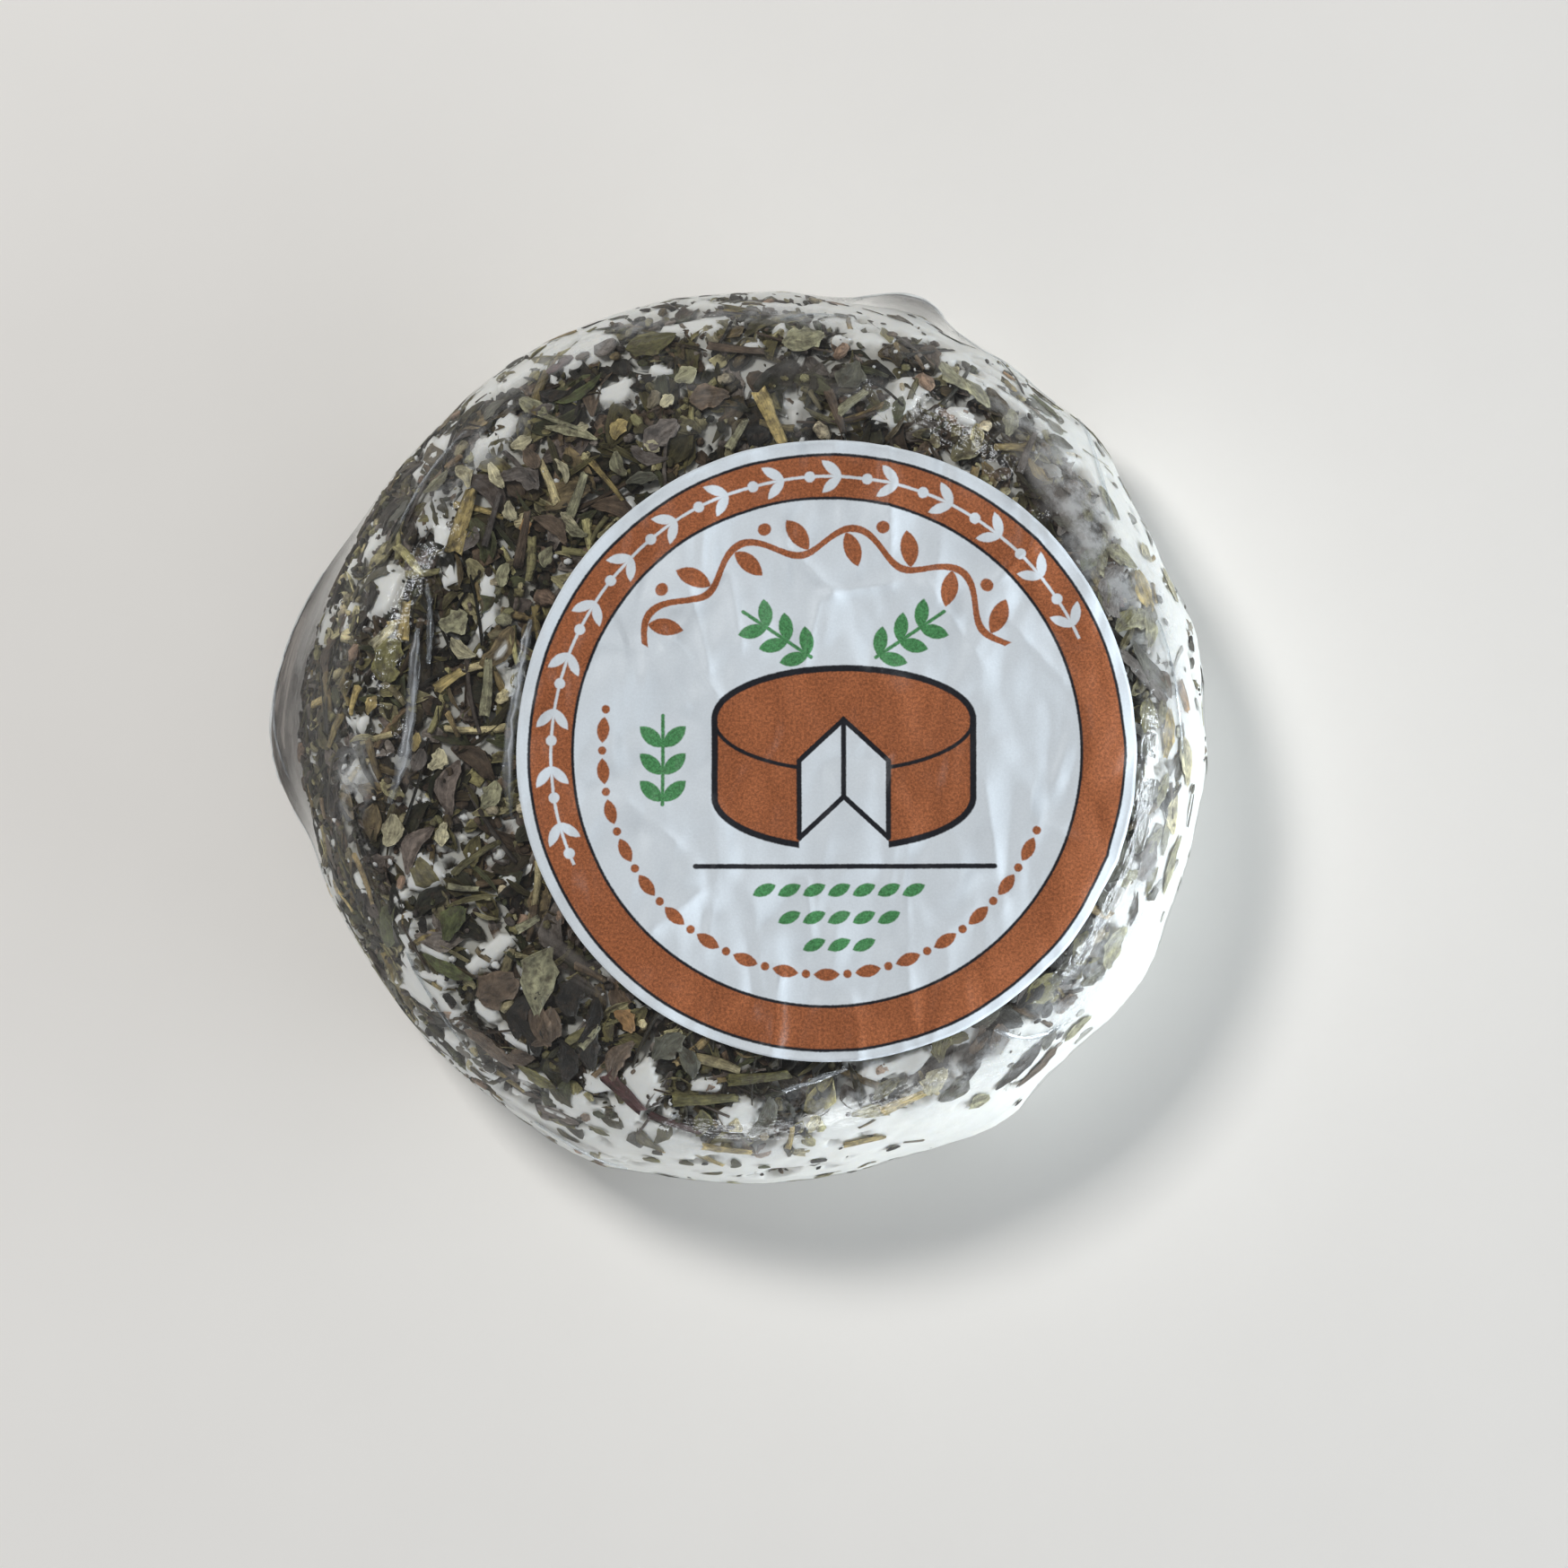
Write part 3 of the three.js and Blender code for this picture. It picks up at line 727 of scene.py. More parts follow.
def strew_kind(name, pieces, finish, per_m2, size, lift, lean, seed, on_bare=False):
    """Strews a kind of herb piece over the curd, by its cover or, sunk flush in it, where it is bare."""
    kind = bpy.data.collections.new(name + "_pieces")
    for piece in pieces:
        kind.objects.link(bpy.data.objects.new(piece.name, piece))
    ground_out = ground_corner - curd_depth + (1 if on_bare else rise_share) * ground_rise
    rings = on_form(ground_theta, ground_climb, ground_out).reshape(-1, ground_sides, 3)
    ground_mesh = wound_mesh(name + "_ground", rings, rings[0].mean(0), rings[-1].mean(0))
    density = ((1 - ground_cover) * ground_thin if on_bare else ground_cover) * open_ground
    density = density * np.where(ground_height < foot_low, base_share, 1)
    give_attribute(ground_mesh, "density", np.append(density, [0, 0]))
    ground = object_of(ground_mesh, name + "_ground")
    strewing = ground.modifiers.new("strewing", "NODES")
    strewing.node_group = strew
    for label, value in {
        "Kind": kind, "Pieces per m2": per_m2, "Smallest": size[0], "Largest": size[1],
        "Lowest": lift[0] * mm, "Highest": lift[1] * mm, "Lean": lean, "Seed": seed, "Finish": finish,
    }.items():
        strewing[strew_inputs[label]] = value
    depsgraph = bpy.context.evaluated_depsgraph_get()
    mesh = bpy.data.meshes.new_from_object(
        ground.evaluated_get(depsgraph), preserve_all_data_layers=True, depsgraph=depsgraph)
    mesh.name = name
    for piece in list(kind.objects):
        bpy.data.objects.remove(piece)
    bpy.data.collections.remove(kind)
    bpy.data.objects.remove(ground)
    pressed_under_film(mesh, flush=on_bare)


def drawn_in(theta, climb):
    """How free the film is of the foot, from 0 to 1, and how deep it lies drawn in there and on the base."""
    _, height, _, _ = profile_at(climb)
    free = np.clip((height - foot_low) / foot_rise, 0, 1)
    on_base = np.clip((climb - pleats_from) / pleats_in, 0, 1) * (climb < rim_climb)
    turns = theta * pleat_count / (2 * math.pi) + 0.35 * np.sin(theta * 5 + 1)
    pleats = np.abs(np.mod(turns, 1) * 2 - 1) ** 1.5
    return free, foot_gap + pleats * pleat_deep * on_base


def pressed_under_film(mesh, flush=False):
    """Presses what stands proud down to the film's level, or flush with bare curd, which then smears it."""
    place = np.empty(len(mesh.vertices) * 3)
    mesh.vertices.foreach_get("co", place)
    place = place.reshape(-1, 3)
    theta, climb, out = from_form(place)
    height = out + curd_depth - curd_corner(theta, climb)
    curd_height = sampled(curd_out, curd_climbs, theta, climb) + curd_depth - curd_corner(theta, climb)
    proud = np.maximum(height - pressed_from, 0)
    pressed = np.where(proud > 0, pressed_from + pressed_most * np.tanh(proud / pressed_most), height)
    if flush:
        pressed = curd_height + flush_over + flush_share * (height - curd_height)
    free, inward = drawn_in(theta, climb)
    under_film = out + pressed - height
    tucked = foot_squeeze * (under_film - herb_highest) - inward - foot_tuck
    kept_under = free * under_film + (1 - free) * np.minimum(tucked, -inward)
    place += out_direction(theta, climb) * (kept_under - out)[:, None]
    place[:, 2] = np.maximum(place[:, 2], herb_low)
    mesh.vertices.foreach_set("co", place.ravel())
    smeared = np.clip(1 - (pressed - curd_height) / smear_height, 0, 1)
    # Pieces along the right flank are whitened too, which is painted light.
    sunk = np.maximum(smeared, painted_light_on_right * on_right(theta))
    if flush:
        sunk = veil_flush + flush_painted_light_on_right * on_right(theta)
    give_attribute(mesh, "sunk", sunk)
    mesh.update()
    made = object_of(mesh, mesh.name)
    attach(made, "root")
    herb_objects.append((theta, climb, under_film, mesh))


def spread(tree, value, least, most, to_least, to_most):
    """A number carried over from one range to another, and held inside it."""
    return node(tree, "ShaderNodeMapRange", {0: value, 1: least, 2: most, 3: to_least, 4: to_most})


def herb_finish(name, colours, edge_share, roughness):
    """Dry herb: a colour for each piece, fibres and a rib along it, a pale rim, spots, a smear of curd, and
    painted light along the right flank.
    """
    paint, tree = material(name)
    place = node(tree, "ShaderNodeTexCoord").outputs["Object"]
    tint, tone, edge, sunk, across, along = (
        attribute_of(tree, part) for part in ("tint", "tone", "edge", "sunk", "across", "along"))
    if colours:
        row = node(tree, "ShaderNodeValToRGB", {"Fac": tint})
        row.color_ramp.interpolation = "CONSTANT"
        while len(row.color_ramp.elements) < len(colours):
            row.color_ramp.elements.new(0.5)
        for k, colour in enumerate(colours):
            row.color_ramp.elements[k].position = k / len(colours)
            row.color_ramp.elements[k].color = (*colour, 1)
    else:
        row = node(tree, "ShaderNodeAttribute", attribute_name="own_colour")
    on_piece = node(tree, "ShaderNodeCombineXYZ", {
        "X": maths(tree, "MULTIPLY", across, 2.6),
        "Y": maths(tree, "MULTIPLY", along, 0.8),
        "Z": maths(tree, "MULTIPLY", tone, 50),
    })
    fibre = noisy(tree, on_piece, 1.6, 4, 0.7)
    blotch = noisy(tree, place, 700, 3, 0.6)
    worn = maths(tree, "ADD", fibre, blotch)
    shade = spread(tree, worn, 0.74, 1.26, 0.4, 1.65)
    lightness = spread(tree, tone, 0, 1, 0.4, 1.6)
    body = scaled(tree, row.outputs["Color"], maths(tree, "MULTIPLY", shade, lightness))
    rib = spread(tree, maths(tree, "ABSOLUTE", across), 0.05, 0.22, 1 + 0.7 * edge_share, 1)
    rim = spread(tree, edge, 0.6, 1, 1, 1 + 1.4 * edge_share)
    rimmed = scaled(tree, body, maths(tree, "MAXIMUM", rib, rim))
    spotty = spread(tree, noisy(tree, place, 1300, 4, 0.7), 0.5, 0.66, 0, 0.7)
    spotted = mixed(tree, spotty, rimmed, spot_colour)
    # The smear's share also holds painted light on the right flank.
    smeared = maths(tree, "MULTIPLY", sunk, noisy(tree, place, 620, 3))
    veiled_and_painted_light = mixed(tree, spread(tree, smeared, 0.1, 0.55, 0, 0.95), spotted, smear_and_painted_light_colour)
    bump = node(tree, "ShaderNodeBump", {"Height": worn, "Strength": 0.85, "Distance": 0.3 * mm})
    surface = node(tree, "ShaderNodeBsdfPrincipled", {
        "Base Color": veiled_and_painted_light, "Roughness": roughness, "Normal": bump,
    })
    node(tree, "ShaderNodeOutputMaterial", {"Surface": surface})
    return paint


draw = np.random.default_rng(11).uniform

olive_leaf = herb_finish("olive_leaf", [
    (0.055, 0.048, 0.020), (0.105, 0.092, 0.040), (0.195, 0.175, 0.082), (0.064, 0.068, 0.033),
    (0.310, 0.280, 0.155), (0.115, 0.088, 0.046), (0.032, 0.031, 0.018),
], 0.5, 0.5)
dark_leaf = herb_finish("dark_leaf", [
    (0.015, 0.014, 0.010), (0.070, 0.050, 0.033), (0.110, 0.078, 0.052), (0.026, 0.026, 0.017),
    (0.120, 0.098, 0.084), (0.150, 0.130, 0.113), (0.046, 0.038, 0.021),
], 0.5, 0.45)
straw = herb_finish("straw_stalk", [
    (0.42, 0.33, 0.14), (0.28, 0.21, 0.10), (0.50, 0.43, 0.24), (0.17, 0.12, 0.07), (0.36, 0.33, 0.16),
], 0.3, 0.55)
pale_bud = herb_finish("pale_bud", [
    (0.50, 0.44, 0.26), (0.38, 0.36, 0.18), (0.60, 0.52, 0.36), (0.35, 0.24, 0.17),
], 0.3, 0.6)


def shapes_of(name, count, make, *spans, **settings):
    """A few pieces of one kind, each with its own shape, drawn from the spans of its measures."""
    return [make(f"{name}_{k}", *(draw(*span) for span in spans), **settings) for k in range(count)]


# Each kind's length and width in mm, its fold, curl and arch, and how ragged it is.
shards = shapes_of("shard", 9, leaf_flake, (1.7, 3.4), (1.3, 2.3), (-0.1, 0.15), (-0.1, 0.2), (-0.04, 0.04),
                   ragged=0.3, rows=5, columns=4)
dark_leaves = shapes_of("dark_leaf", 9, leaf_flake, (2.2, 4.8), (1.3, 2.6), (0, 0.35), (-0.1, 0.5),
                        (-0.06, 0.06), ragged=0.24)
olive_leaves = shapes_of("olive_leaf", 12, leaf_flake, (2.0, 4.6), (1.2, 2.6), (0, 0.4), (-0.2, 0.6),
                         (-0.07, 0.07), ragged=0.22)
needles = shapes_of("needle", 8, leaf_flake, (2.6, 5.0), (0.4, 0.95), (0.2, 0.6), (0, 0.4), (-0.06, 0.06),
                    ragged=0.14, columns=3)
stalks = shapes_of("stalk", 8, stalk_piece, (2.4, 5.2), (0.3, 0.52), (-0.05, 0.05))
twigs = shapes_of("twig", 6, stalk_piece, (4.5, 8), (0.12, 0.26), (-0.1, 0.1))
buds = shapes_of("bud", 5, bud_piece, (0.9, 1.6))
crumbs = shapes_of("crumb", 7, bud_piece, (0.45, 0.85))

# The finish, how many to a square metre, the sizes and the heights in mm between which they lie, how far they
# lean, and the seed.
strew_kind("shards", shards, dark_leaf, 330000, (0.6, 1.2), (-0.03, 0.2), 0.07, 3)
strew_kind("dark_leaves", dark_leaves, dark_leaf, 205000, (0.6, 1.15), (0.02, 0.5), 0.12, 5)
strew_kind("olive_leaves", olive_leaves, olive_leaf, 195000, (0.55, 1.15), (0.1, 0.75), 0.14, 7)
strew_kind("needles", needles, olive_leaf, 110000, (0.6, 1.1), (0.2, 0.85), 0.1, 9)
strew_kind("stalks", stalks, straw, 52000, (0.6, 1.15), (0.3, 0.9), 0.06, 13)
strew_kind("twigs", twigs, dark_leaf, 34000, (0.6, 1.1), (0.5, 0.95), 0.05, 14)
strew_kind("buds", buds, pale_bud, 30000, (0.6, 1.25), (0.5, 0.9), 0.5, 15)
strew_kind("crumbs", crumbs, dark_leaf, 480000, (0.4, 1.25), (0.05, 0.8), 0.8, 17)
strew_kind("green_crumbs", crumbs, olive_leaf, 330000, (0.45, 1.4), (0.05, 0.9), 0.8, 19)
strew_kind("sunk_leaves", olive_leaves + dark_leaves, olive_leaf, 95000, (0.4, 1.0),
           (-0.06, 0.14), 0.1, 23, on_bare=True)
strew_kind("sunk_stalks", stalks + twigs[:2], straw, 40000, (0.35, 0.85),
           (-0.14, 0.05), 0.06, 25, on_bare=True)
strew_kind("sunk_buds", buds + shards[:4], pale_bud, 36000, (0.5, 1.1),
           (-0.1, 0.05), 0.3, 26, on_bare=True)
strew_kind("sunk_specks", crumbs, dark_leaf, 75000, (0.3, 1.1),
           (-0.04, 0.1), 0.8, 27, on_bare=True)
strew_kind("curd_bits", crumbs, curd_paint, 90000, (0.25, 0.95), (0.25, 0.85), 0.8, 29)

# The pieces that catch the eye in the photograph, each where it shows there: colour, pixel across and down,
# turn in degrees anticlockwise from level, length and width in mm.
herb_colours = {
    "straw": (0.46, 0.36, 0.15), "cream": (0.54, 0.50, 0.33), "pale": (0.34, 0.33, 0.21),
    "olive": (0.15, 0.14, 0.055), "green": (0.10, 0.115, 0.045), "black": (0.02, 0.018, 0.014),
    "brown": (0.135, 0.098, 0.068), "mauve": (0.155, 0.136, 0.122), "red": (0.11, 0.052, 0.05),
    "rust": (0.42, 0.25, 0.11), "slate": (0.105, 0.106, 0.08),
}
chosen_leaves = [
    ("black", 386, 1020, -60, 3.6, 1.3), ("olive", 400, 1050, -58, 3.2, 1.4),
    ("brown", 368, 950, -70, 3.0, 1.2), ("black", 374, 978, -65, 2.6, 0.9),
    ("olive", 420, 1084, -55, 3.4, 1.2), ("black", 440, 1110, -52, 2.8, 1.0),
    ("black", 414, 664, 95, 2.6, 1.2), ("olive", 430, 734, 70, 3.6, 3.0), ("pale", 506, 694, 20, 2.4, 2.1),
    ("cream", 513, 725, -35, 2.5, 1.2), ("cream", 438, 927, 70, 2.7, 2.0), ("cream", 492, 930, 80, 2.0, 1.3),
    ("pale", 548, 887, 60, 2.5, 1.9), ("black", 382, 837, 8, 3.0, 0.8), ("black", 363, 798, -65, 3.3, 0.8),
    ("olive", 726, 381, 20, 4.2, 3.1), ("pale", 896, 377, 30, 3.6, 3.1), ("slate", 951, 418, 60, 2.8, 2.4),
    ("black", 616, 440, -10, 2.6, 1.2), ("green", 648, 437, 35, 4.6, 0.9), ("pale", 594, 453, -40, 3.4, 1.3),
    ("cream", 551, 531, -60, 2.5, 1.2), ("cream", 519, 528, -55, 2.5, 1.3),
    ("cream", 629, 523, -65, 2.2, 0.9), ("brown", 618, 585, -40, 3.5, 1.3),
    ("cream", 637, 582, -45, 2.3, 0.8), ("straw", 688, 477, 60, 1.8, 1.5), ("mauve", 736, 483, 40, 3.4, 1.9),
    ("brown", 790, 440, 10, 3.2, 2.0), ("mauve", 573, 528, 10, 2.4, 1.4), ("pale", 637, 480, -15, 4.4, 1.1),
    ("pale", 487, 539, 30, 2.9, 1.1), ("pale", 597, 1093, 78, 5.6, 3.4), ("brown", 554, 1103, 30, 3.8, 2.9),
    ("green", 498, 1082, -20, 4.8, 1.5), ("green", 503, 1028, 60, 3.2, 2.3),
    ("black", 471, 1031, 80, 1.4, 1.0), ("black", 501, 1114, -20, 1.4, 1.1),
    ("brown", 546, 1168, -38, 5.2, 1.9), ("rust", 699, 1136, -50, 2.2, 1.5),
    ("black", 635, 1110, 80, 3.2, 2.4), ("black", 635, 1186, 85, 3.6, 2.0),
    ("black", 590, 1150, -60, 4.4, 1.6), ("black", 662, 1140, 70, 4.0, 1.4),
    ("brown", 612, 1150, 60, 3.8, 2.0), ("green", 431, 1039, 70, 3.0, 1.9),
    ("slate", 744, 1166, 40, 3.2, 2.2), ("slate", 854, 1249, 70, 4.2, 1.5),
    ("olive", 783, 1254, 80, 3.0, 1.7), ("olive", 667, 1262, -40, 1.9, 1.0),
    ("cream", 908, 1254, 80, 2.0, 1.3), ("black", 1143, 1186, -85, 4.4, 2.6),
    ("brown", 1159, 1190, -88, 4.6, 2.2), ("straw", 1156, 525, -50, 2.5, 1.2),
    ("pale", 1062, 420, -60, 3.6, 1.8), ("pale", 1091, 437, -70, 3.4, 1.6),
    ("slate", 1183, 491, 20, 2.7, 1.6), ("slate", 1195, 584, 0, 3.4, 1.7), ("mauve", 1238, 656, 75, 4.6, 2.6),
    ("straw", 1276, 658, -70, 3.6, 2.4), ("olive", 1286, 684, 60, 1.8, 1.6),
    ("black", 1266, 1014, -70, 3.0, 1.1), ("pale", 1241, 1058, -80, 3.8, 2.8),
    ("slate", 1224, 1088, 15, 3.4, 1.6), ("pale", 1306, 964, 80, 5.0, 2.2),
    ("slate", 1283, 748, -30, 5.6, 2.0), ("slate", 1100, 1138, 25, 2.6, 1.3),
    ("black", 1150, 1112, 35, 2.8, 1.4), ("slate", 1186, 1082, 45, 3.0, 1.5),
    ("olive", 1204, 1052, 70, 2.4, 1.3), ("brown", 1094, 1160, 80, 2.6, 1.2),
    ("pale", 1319, 838, -60, 3.4, 1.4), ("olive", 1273, 860, -60, 1.8, 0.9),
    ("black", 577, 1128, 60, 4.6, 1.8), ("brown", 600, 1140, -80, 4.4, 1.9),
    ("black", 655, 1168, 80, 3.8, 1.8), ("brown", 578, 1180, 20, 3.0, 1.5),
    ("olive", 596, 1202, -35, 3.6, 1.5), ("brown", 686, 1180, 60, 3.8, 1.6),
    ("slate", 768, 1180, -60, 3.4, 1.5), ("pale", 1252, 620, 0, 3.6, 2.0), ("pale", 1284, 700, 75, 3.4, 1.7),
    ("olive", 1256, 690, 40, 3.0, 1.5), ("mauve", 1262, 738, -25, 4.6, 1.3),
    ("brown", 1302, 760, -35, 2.6, 1.2), ("olive", 1279, 800, 80, 3.2, 1.6),
    ("straw", 1304, 818, 70, 4.2, 1.8), ("slate", 1266, 870, 80, 3.2, 1.2), ("pale", 1297, 880, 50, 3.0, 1.5),
    ("slate", 1274, 930, 75, 3.4, 1.4), ("pale", 1300, 935, -70, 2.8, 1.3),
    ("olive", 1284, 982, 60, 2.6, 1.2), ("pale", 1238, 560, -70, 3.2, 1.6),
    ("green", 1216, 620, 45, 2.8, 1.4), ("olive", 1232, 664, 75, 3.0, 1.2),
    ("green", 1165, 452, -35, 3.0, 1.5), ("pale", 1128, 470, 65, 3.2, 1.5),
    ("olive", 1078, 380, 20, 2.6, 1.3), ("black", 1088, 1178, 85, 5.0, 2.0),
    ("black", 1127, 1200, 85, 3.4, 1.3), ("slate", 1067, 1216, 70, 3.2, 2.4),
    ("pale", 1092, 1226, -60, 2.4, 2.2), ("olive", 1048, 1166, 85, 3.0, 1.8),
    ("olive", 1068, 1158, 10, 1.8, 1.3), ("brown", 1114, 1160, -75, 3.2, 1.9),
    ("olive", 1164, 1102, 30, 3.6, 2.8), ("slate", 1170, 1160, -60, 2.6, 1.5),
    ("black", 1190, 1080, -40, 3.0, 2.0), ("brown", 1190, 1118, 15, 2.2, 1.7),
    ("black", 1208, 1048, 65, 4.0, 2.0), ("mauve", 1146, 1106, 40, 2.8, 1.6),
    ("cream", 1040, 1206, 80, 3.0, 2.2), ("pale", 1202, 1146, 10, 3.0, 2.0),
    ("pale", 1274, 690, 10, 3.6, 1.8), ("cream", 1279, 616, 30, 2.2, 1.8),
    ("cream", 1305, 652, -40, 3.0, 2.6), ("slate", 1278, 828, 40, 2.6, 1.6),
    ("black", 1268, 866, 85, 2.8, 1.4), ("slate", 1284, 880, 10, 2.6, 2.0),
    ("cream", 1324, 848, -35, 4.2, 2.4), ("cream", 1308, 908, -60, 3.6, 2.4),
    ("mauve", 1280, 960, 70, 3.4, 2.6), ("slate", 1250, 962, 70, 3.6, 1.8), ("pale", 1260, 978, 15, 2.2, 1.2),
    ("slate", 1286, 998, -10, 1.8, 1.4), ("pale", 1288, 938, 20, 2.4, 1.6),
    ("slate", 1232, 1006, -50, 2.4, 1.3), ("cream", 568, 570, -70, 1.7, 1.2),
    ("rust", 585, 591, 80, 2.4, 0.9), ("slate", 548, 455, 60, 2.3, 1.7), ("cream", 581, 494, 20, 1.8, 1.2),
    ("brown", 592, 510, -60, 2.0, 1.4), ("mauve", 588, 531, -30, 2.6, 1.7), ("pale", 608, 620, 70, 1.8, 1.2),
    ("mauve", 526, 602, 60, 2.2, 1.4), ("mauve", 603, 458, 10, 2.0, 1.2), ("slate", 444, 571, 20, 2.4, 1.2),
    ("pale", 764, 418, 30, 2.0, 1.5), ("cream", 743, 446, 45, 1.3, 1.0), ("cream", 648, 476, 20, 1.2, 0.8),
    ("cream", 726, 497, -30, 1.5, 1.1), ("mauve", 722, 511, -18, 3.2, 1.1), ("pale", 687, 518, -70, 2.2, 1.3),
    ("slate", 715, 532, 10, 2.6, 1.0), ("straw", 412, 785, 60, 1.7, 1.3), ("cream", 489, 848, 60, 1.9, 1.5),
    ("mauve", 467, 847, 70, 1.9, 1.2), ("straw", 463, 827, 80, 1.5, 0.9), ("pale", 560, 640, 75, 2.0, 1.0),
    ("pale", 640, 592, -35, 2.2, 0.9),
]
chosen_sticks = [
    ("straw", 517, 579, 75, 5.4, 1.4), ("straw", 451, 692, 86, 3.0, 1.0), ("straw", 500, 758, 35, 2.6, 0.9),
    ("pale", 543, 766, 86, 4.5, 0.9), ("straw", 858, 465, -65, 4.6, 1.2), ("pale", 822, 484, 60, 2.7, 0.7),
    ("brown", 820, 389, -8, 4.6, 0.8), ("pale", 950, 447, 40, 2.9, 0.8), ("brown", 931, 457, -70, 3.7, 0.8),
    ("pale", 645, 552, 70, 3.7, 0.8), ("straw", 677, 536, -50, 4.1, 0.5), ("mauve", 549, 579, 75, 4.4, 0.5),
    ("brown", 584, 601, 80, 4.6, 0.8), ("mauve", 1147, 501, 60, 5.0, 0.6), ("pale", 1212, 489, -65, 5.0, 0.9),
    ("pale", 1231, 613, 65, 3.5, 0.7), ("straw", 964, 1273, -10, 3.3, 1.0),
    ("straw", 1007, 1230, 25, 3.9, 1.1), ("olive", 846, 1203, 6, 5.0, 0.9), ("olive", 785, 1227, 5, 5.2, 1.0),
    ("red", 752, 1254, -28, 4.4, 0.8), ("straw", 811, 1283, -22, 3.8, 1.0),
    ("straw", 882, 1270, 88, 2.9, 0.5), ("red", 694, 1219, -55, 4.2, 1.3), ("pale", 659, 1157, 50, 2.3, 0.6),
    ("pale", 589, 1031, 30, 2.0, 0.7), ("pale", 517, 991, -5, 2.5, 0.5), ("mauve", 1284, 762, -28, 4.2, 1.3),
    ("brown", 1307, 893, -52, 3.0, 0.5), ("slate", 1328, 904, 80, 2.6, 0.5),
    ("slate", 1312, 884, 12, 2.2, 0.5), ("mauve", 579, 520, -46, 3.8, 0.4), ("cream", 428, 708, 36, 2.8, 0.9),
    ("pale", 622, 470, -25, 3.6, 0.5), ("red", 1249, 658, 88, 2.8, 0.5), ("pale", 1232, 616, 65, 4.2, 0.9),
    ("rust", 1321, 778, -18, 2.4, 1.4),
]
chosen_seeds = [
    ("red", 629, 402, 60, 1.4, 1), ("red", 618, 410, 20, 1.3, 1), ("brown", 649, 396, 20, 1.1, 1),
    ("mauve", 675, 386, 80, 2.0, 1), ("olive", 726, 1294, 0, 1.3, 1), ("olive", 765, 1298, 0, 1.1, 1),
    ("green", 852, 1302, 0, 0.9, 1), ("green", 667, 1243, 0, 0.9, 1), ("black", 913, 1295, 0, 1.2, 1),
    ("black", 996, 1281, 60, 1.1, 1), ("rust", 1125, 420, 0, 1.1, 1), ("straw", 1127, 430, 80, 1.3, 1),
    ("brown", 1189, 1120, 20, 1.4, 1), ("pale", 1091, 1225, 0, 1.2, 1), ("pale", 561, 691, 0, 1.2, 1),
    ("pale", 1212, 569, 80, 1.7, 1), ("black", 1131, 1223, 0, 0.7, 1), ("black", 1168, 1127, -70, 1.3, 1),
    ("pale", 1297, 791, 80, 1.5, 1), ("black", 1271, 848, 0, 1.0, 1), ("black", 1182, 1155, 50, 0.8, 1),
    ("slate", 1300, 693, 0, 0.7, 1), ("slate", 1306, 740, 0, 0.6, 1), ("slate", 1330, 880, 0, 0.9, 1),
    ("black", 1157, 1139, 0, 0.6, 1),
]
chosen_lift = 1.25 * mm  # over the deepest curd, before the film presses them down


def chosen_piece(kind, length, width):
    """One piece along X, of a given length and width in mm."""
    if kind == "leaf":
        bends = (draw(0, 0.25), draw(-0.1, 0.4), draw(-0.04, 0.04))
        return leaf_flake("piece", length, width, *bends, 0.26, rows=8, columns=7)
    if kind == "stick":
        return stalk_piece("piece", length, width / 2, draw(-0.03, 0.03), sides=8)
    return bud_piece("piece", length)


def chosen_pieces():
    """The chosen pieces in one mesh, each laid on the form under its pixel."""
    points, faces = [], []
    values = {"edge": [], "across": [], "along": [], "tint": [], "tone": [], "own_colour": []}
    for kind, rows in (("leaf", chosen_leaves), ("stick", chosen_sticks), ("seed", chosen_seeds)):
        for colour, across, down, angle, length, width in rows:
            piece = chosen_piece(kind, length, width)
            theta, climb = (np.array([k]) for k in under_pixel(across, down))
            up = out_direction(theta, climb)[0]
            spot = on_form(theta, climb, curd_corner(theta, climb) - curd_depth + chosen_lift)[0]
            level = np.array([math.cos(math.radians(angle)), math.sin(math.radians(angle)), 0])
            forward = level - up * (level @ up)
            forward /= np.linalg.norm(forward)
            sideways = np.cross(up, forward)
            own = np.array([vertex.co for vertex in piece.vertices])
            offset = sum(len(part) for part in points)
            points.append(spot + own @ np.stack([forward, sideways, up]))
            faces += [[k + offset for k in face.vertices] for face in piece.polygons]
            for attribute in ("edge", "across", "along"):
                values[attribute] += [item.value for item in piece.attributes[attribute].data]
            values["tint"] += [0.5] * len(own)
            values["tone"] += [draw(0.3, 0.6)] * len(own)
            values["own_colour"] += [(*herb_colours[colour], 1)] * len(own)
            bpy.data.meshes.remove(piece)
    mesh = bpy.data.meshes.new("chosen_herbs")
    mesh.from_pydata(np.concatenate(points).tolist(), [], faces)
    mesh.shade_smooth()
    for attribute in ("edge", "across", "along", "tint", "tone"):
        give_attribute(mesh, attribute, np.array(values[attribute]))
    own = mesh.attributes.new("own_colour", "FLOAT_COLOR", "POINT")
    own.data.foreach_set("color", np.array(values["own_colour"]).ravel())
    return mesh


chosen_mesh = chosen_pieces()
chosen_mesh.materials.append(herb_finish("chosen_herb", [], 0.4, 0.5))
pressed_under_film(chosen_mesh)
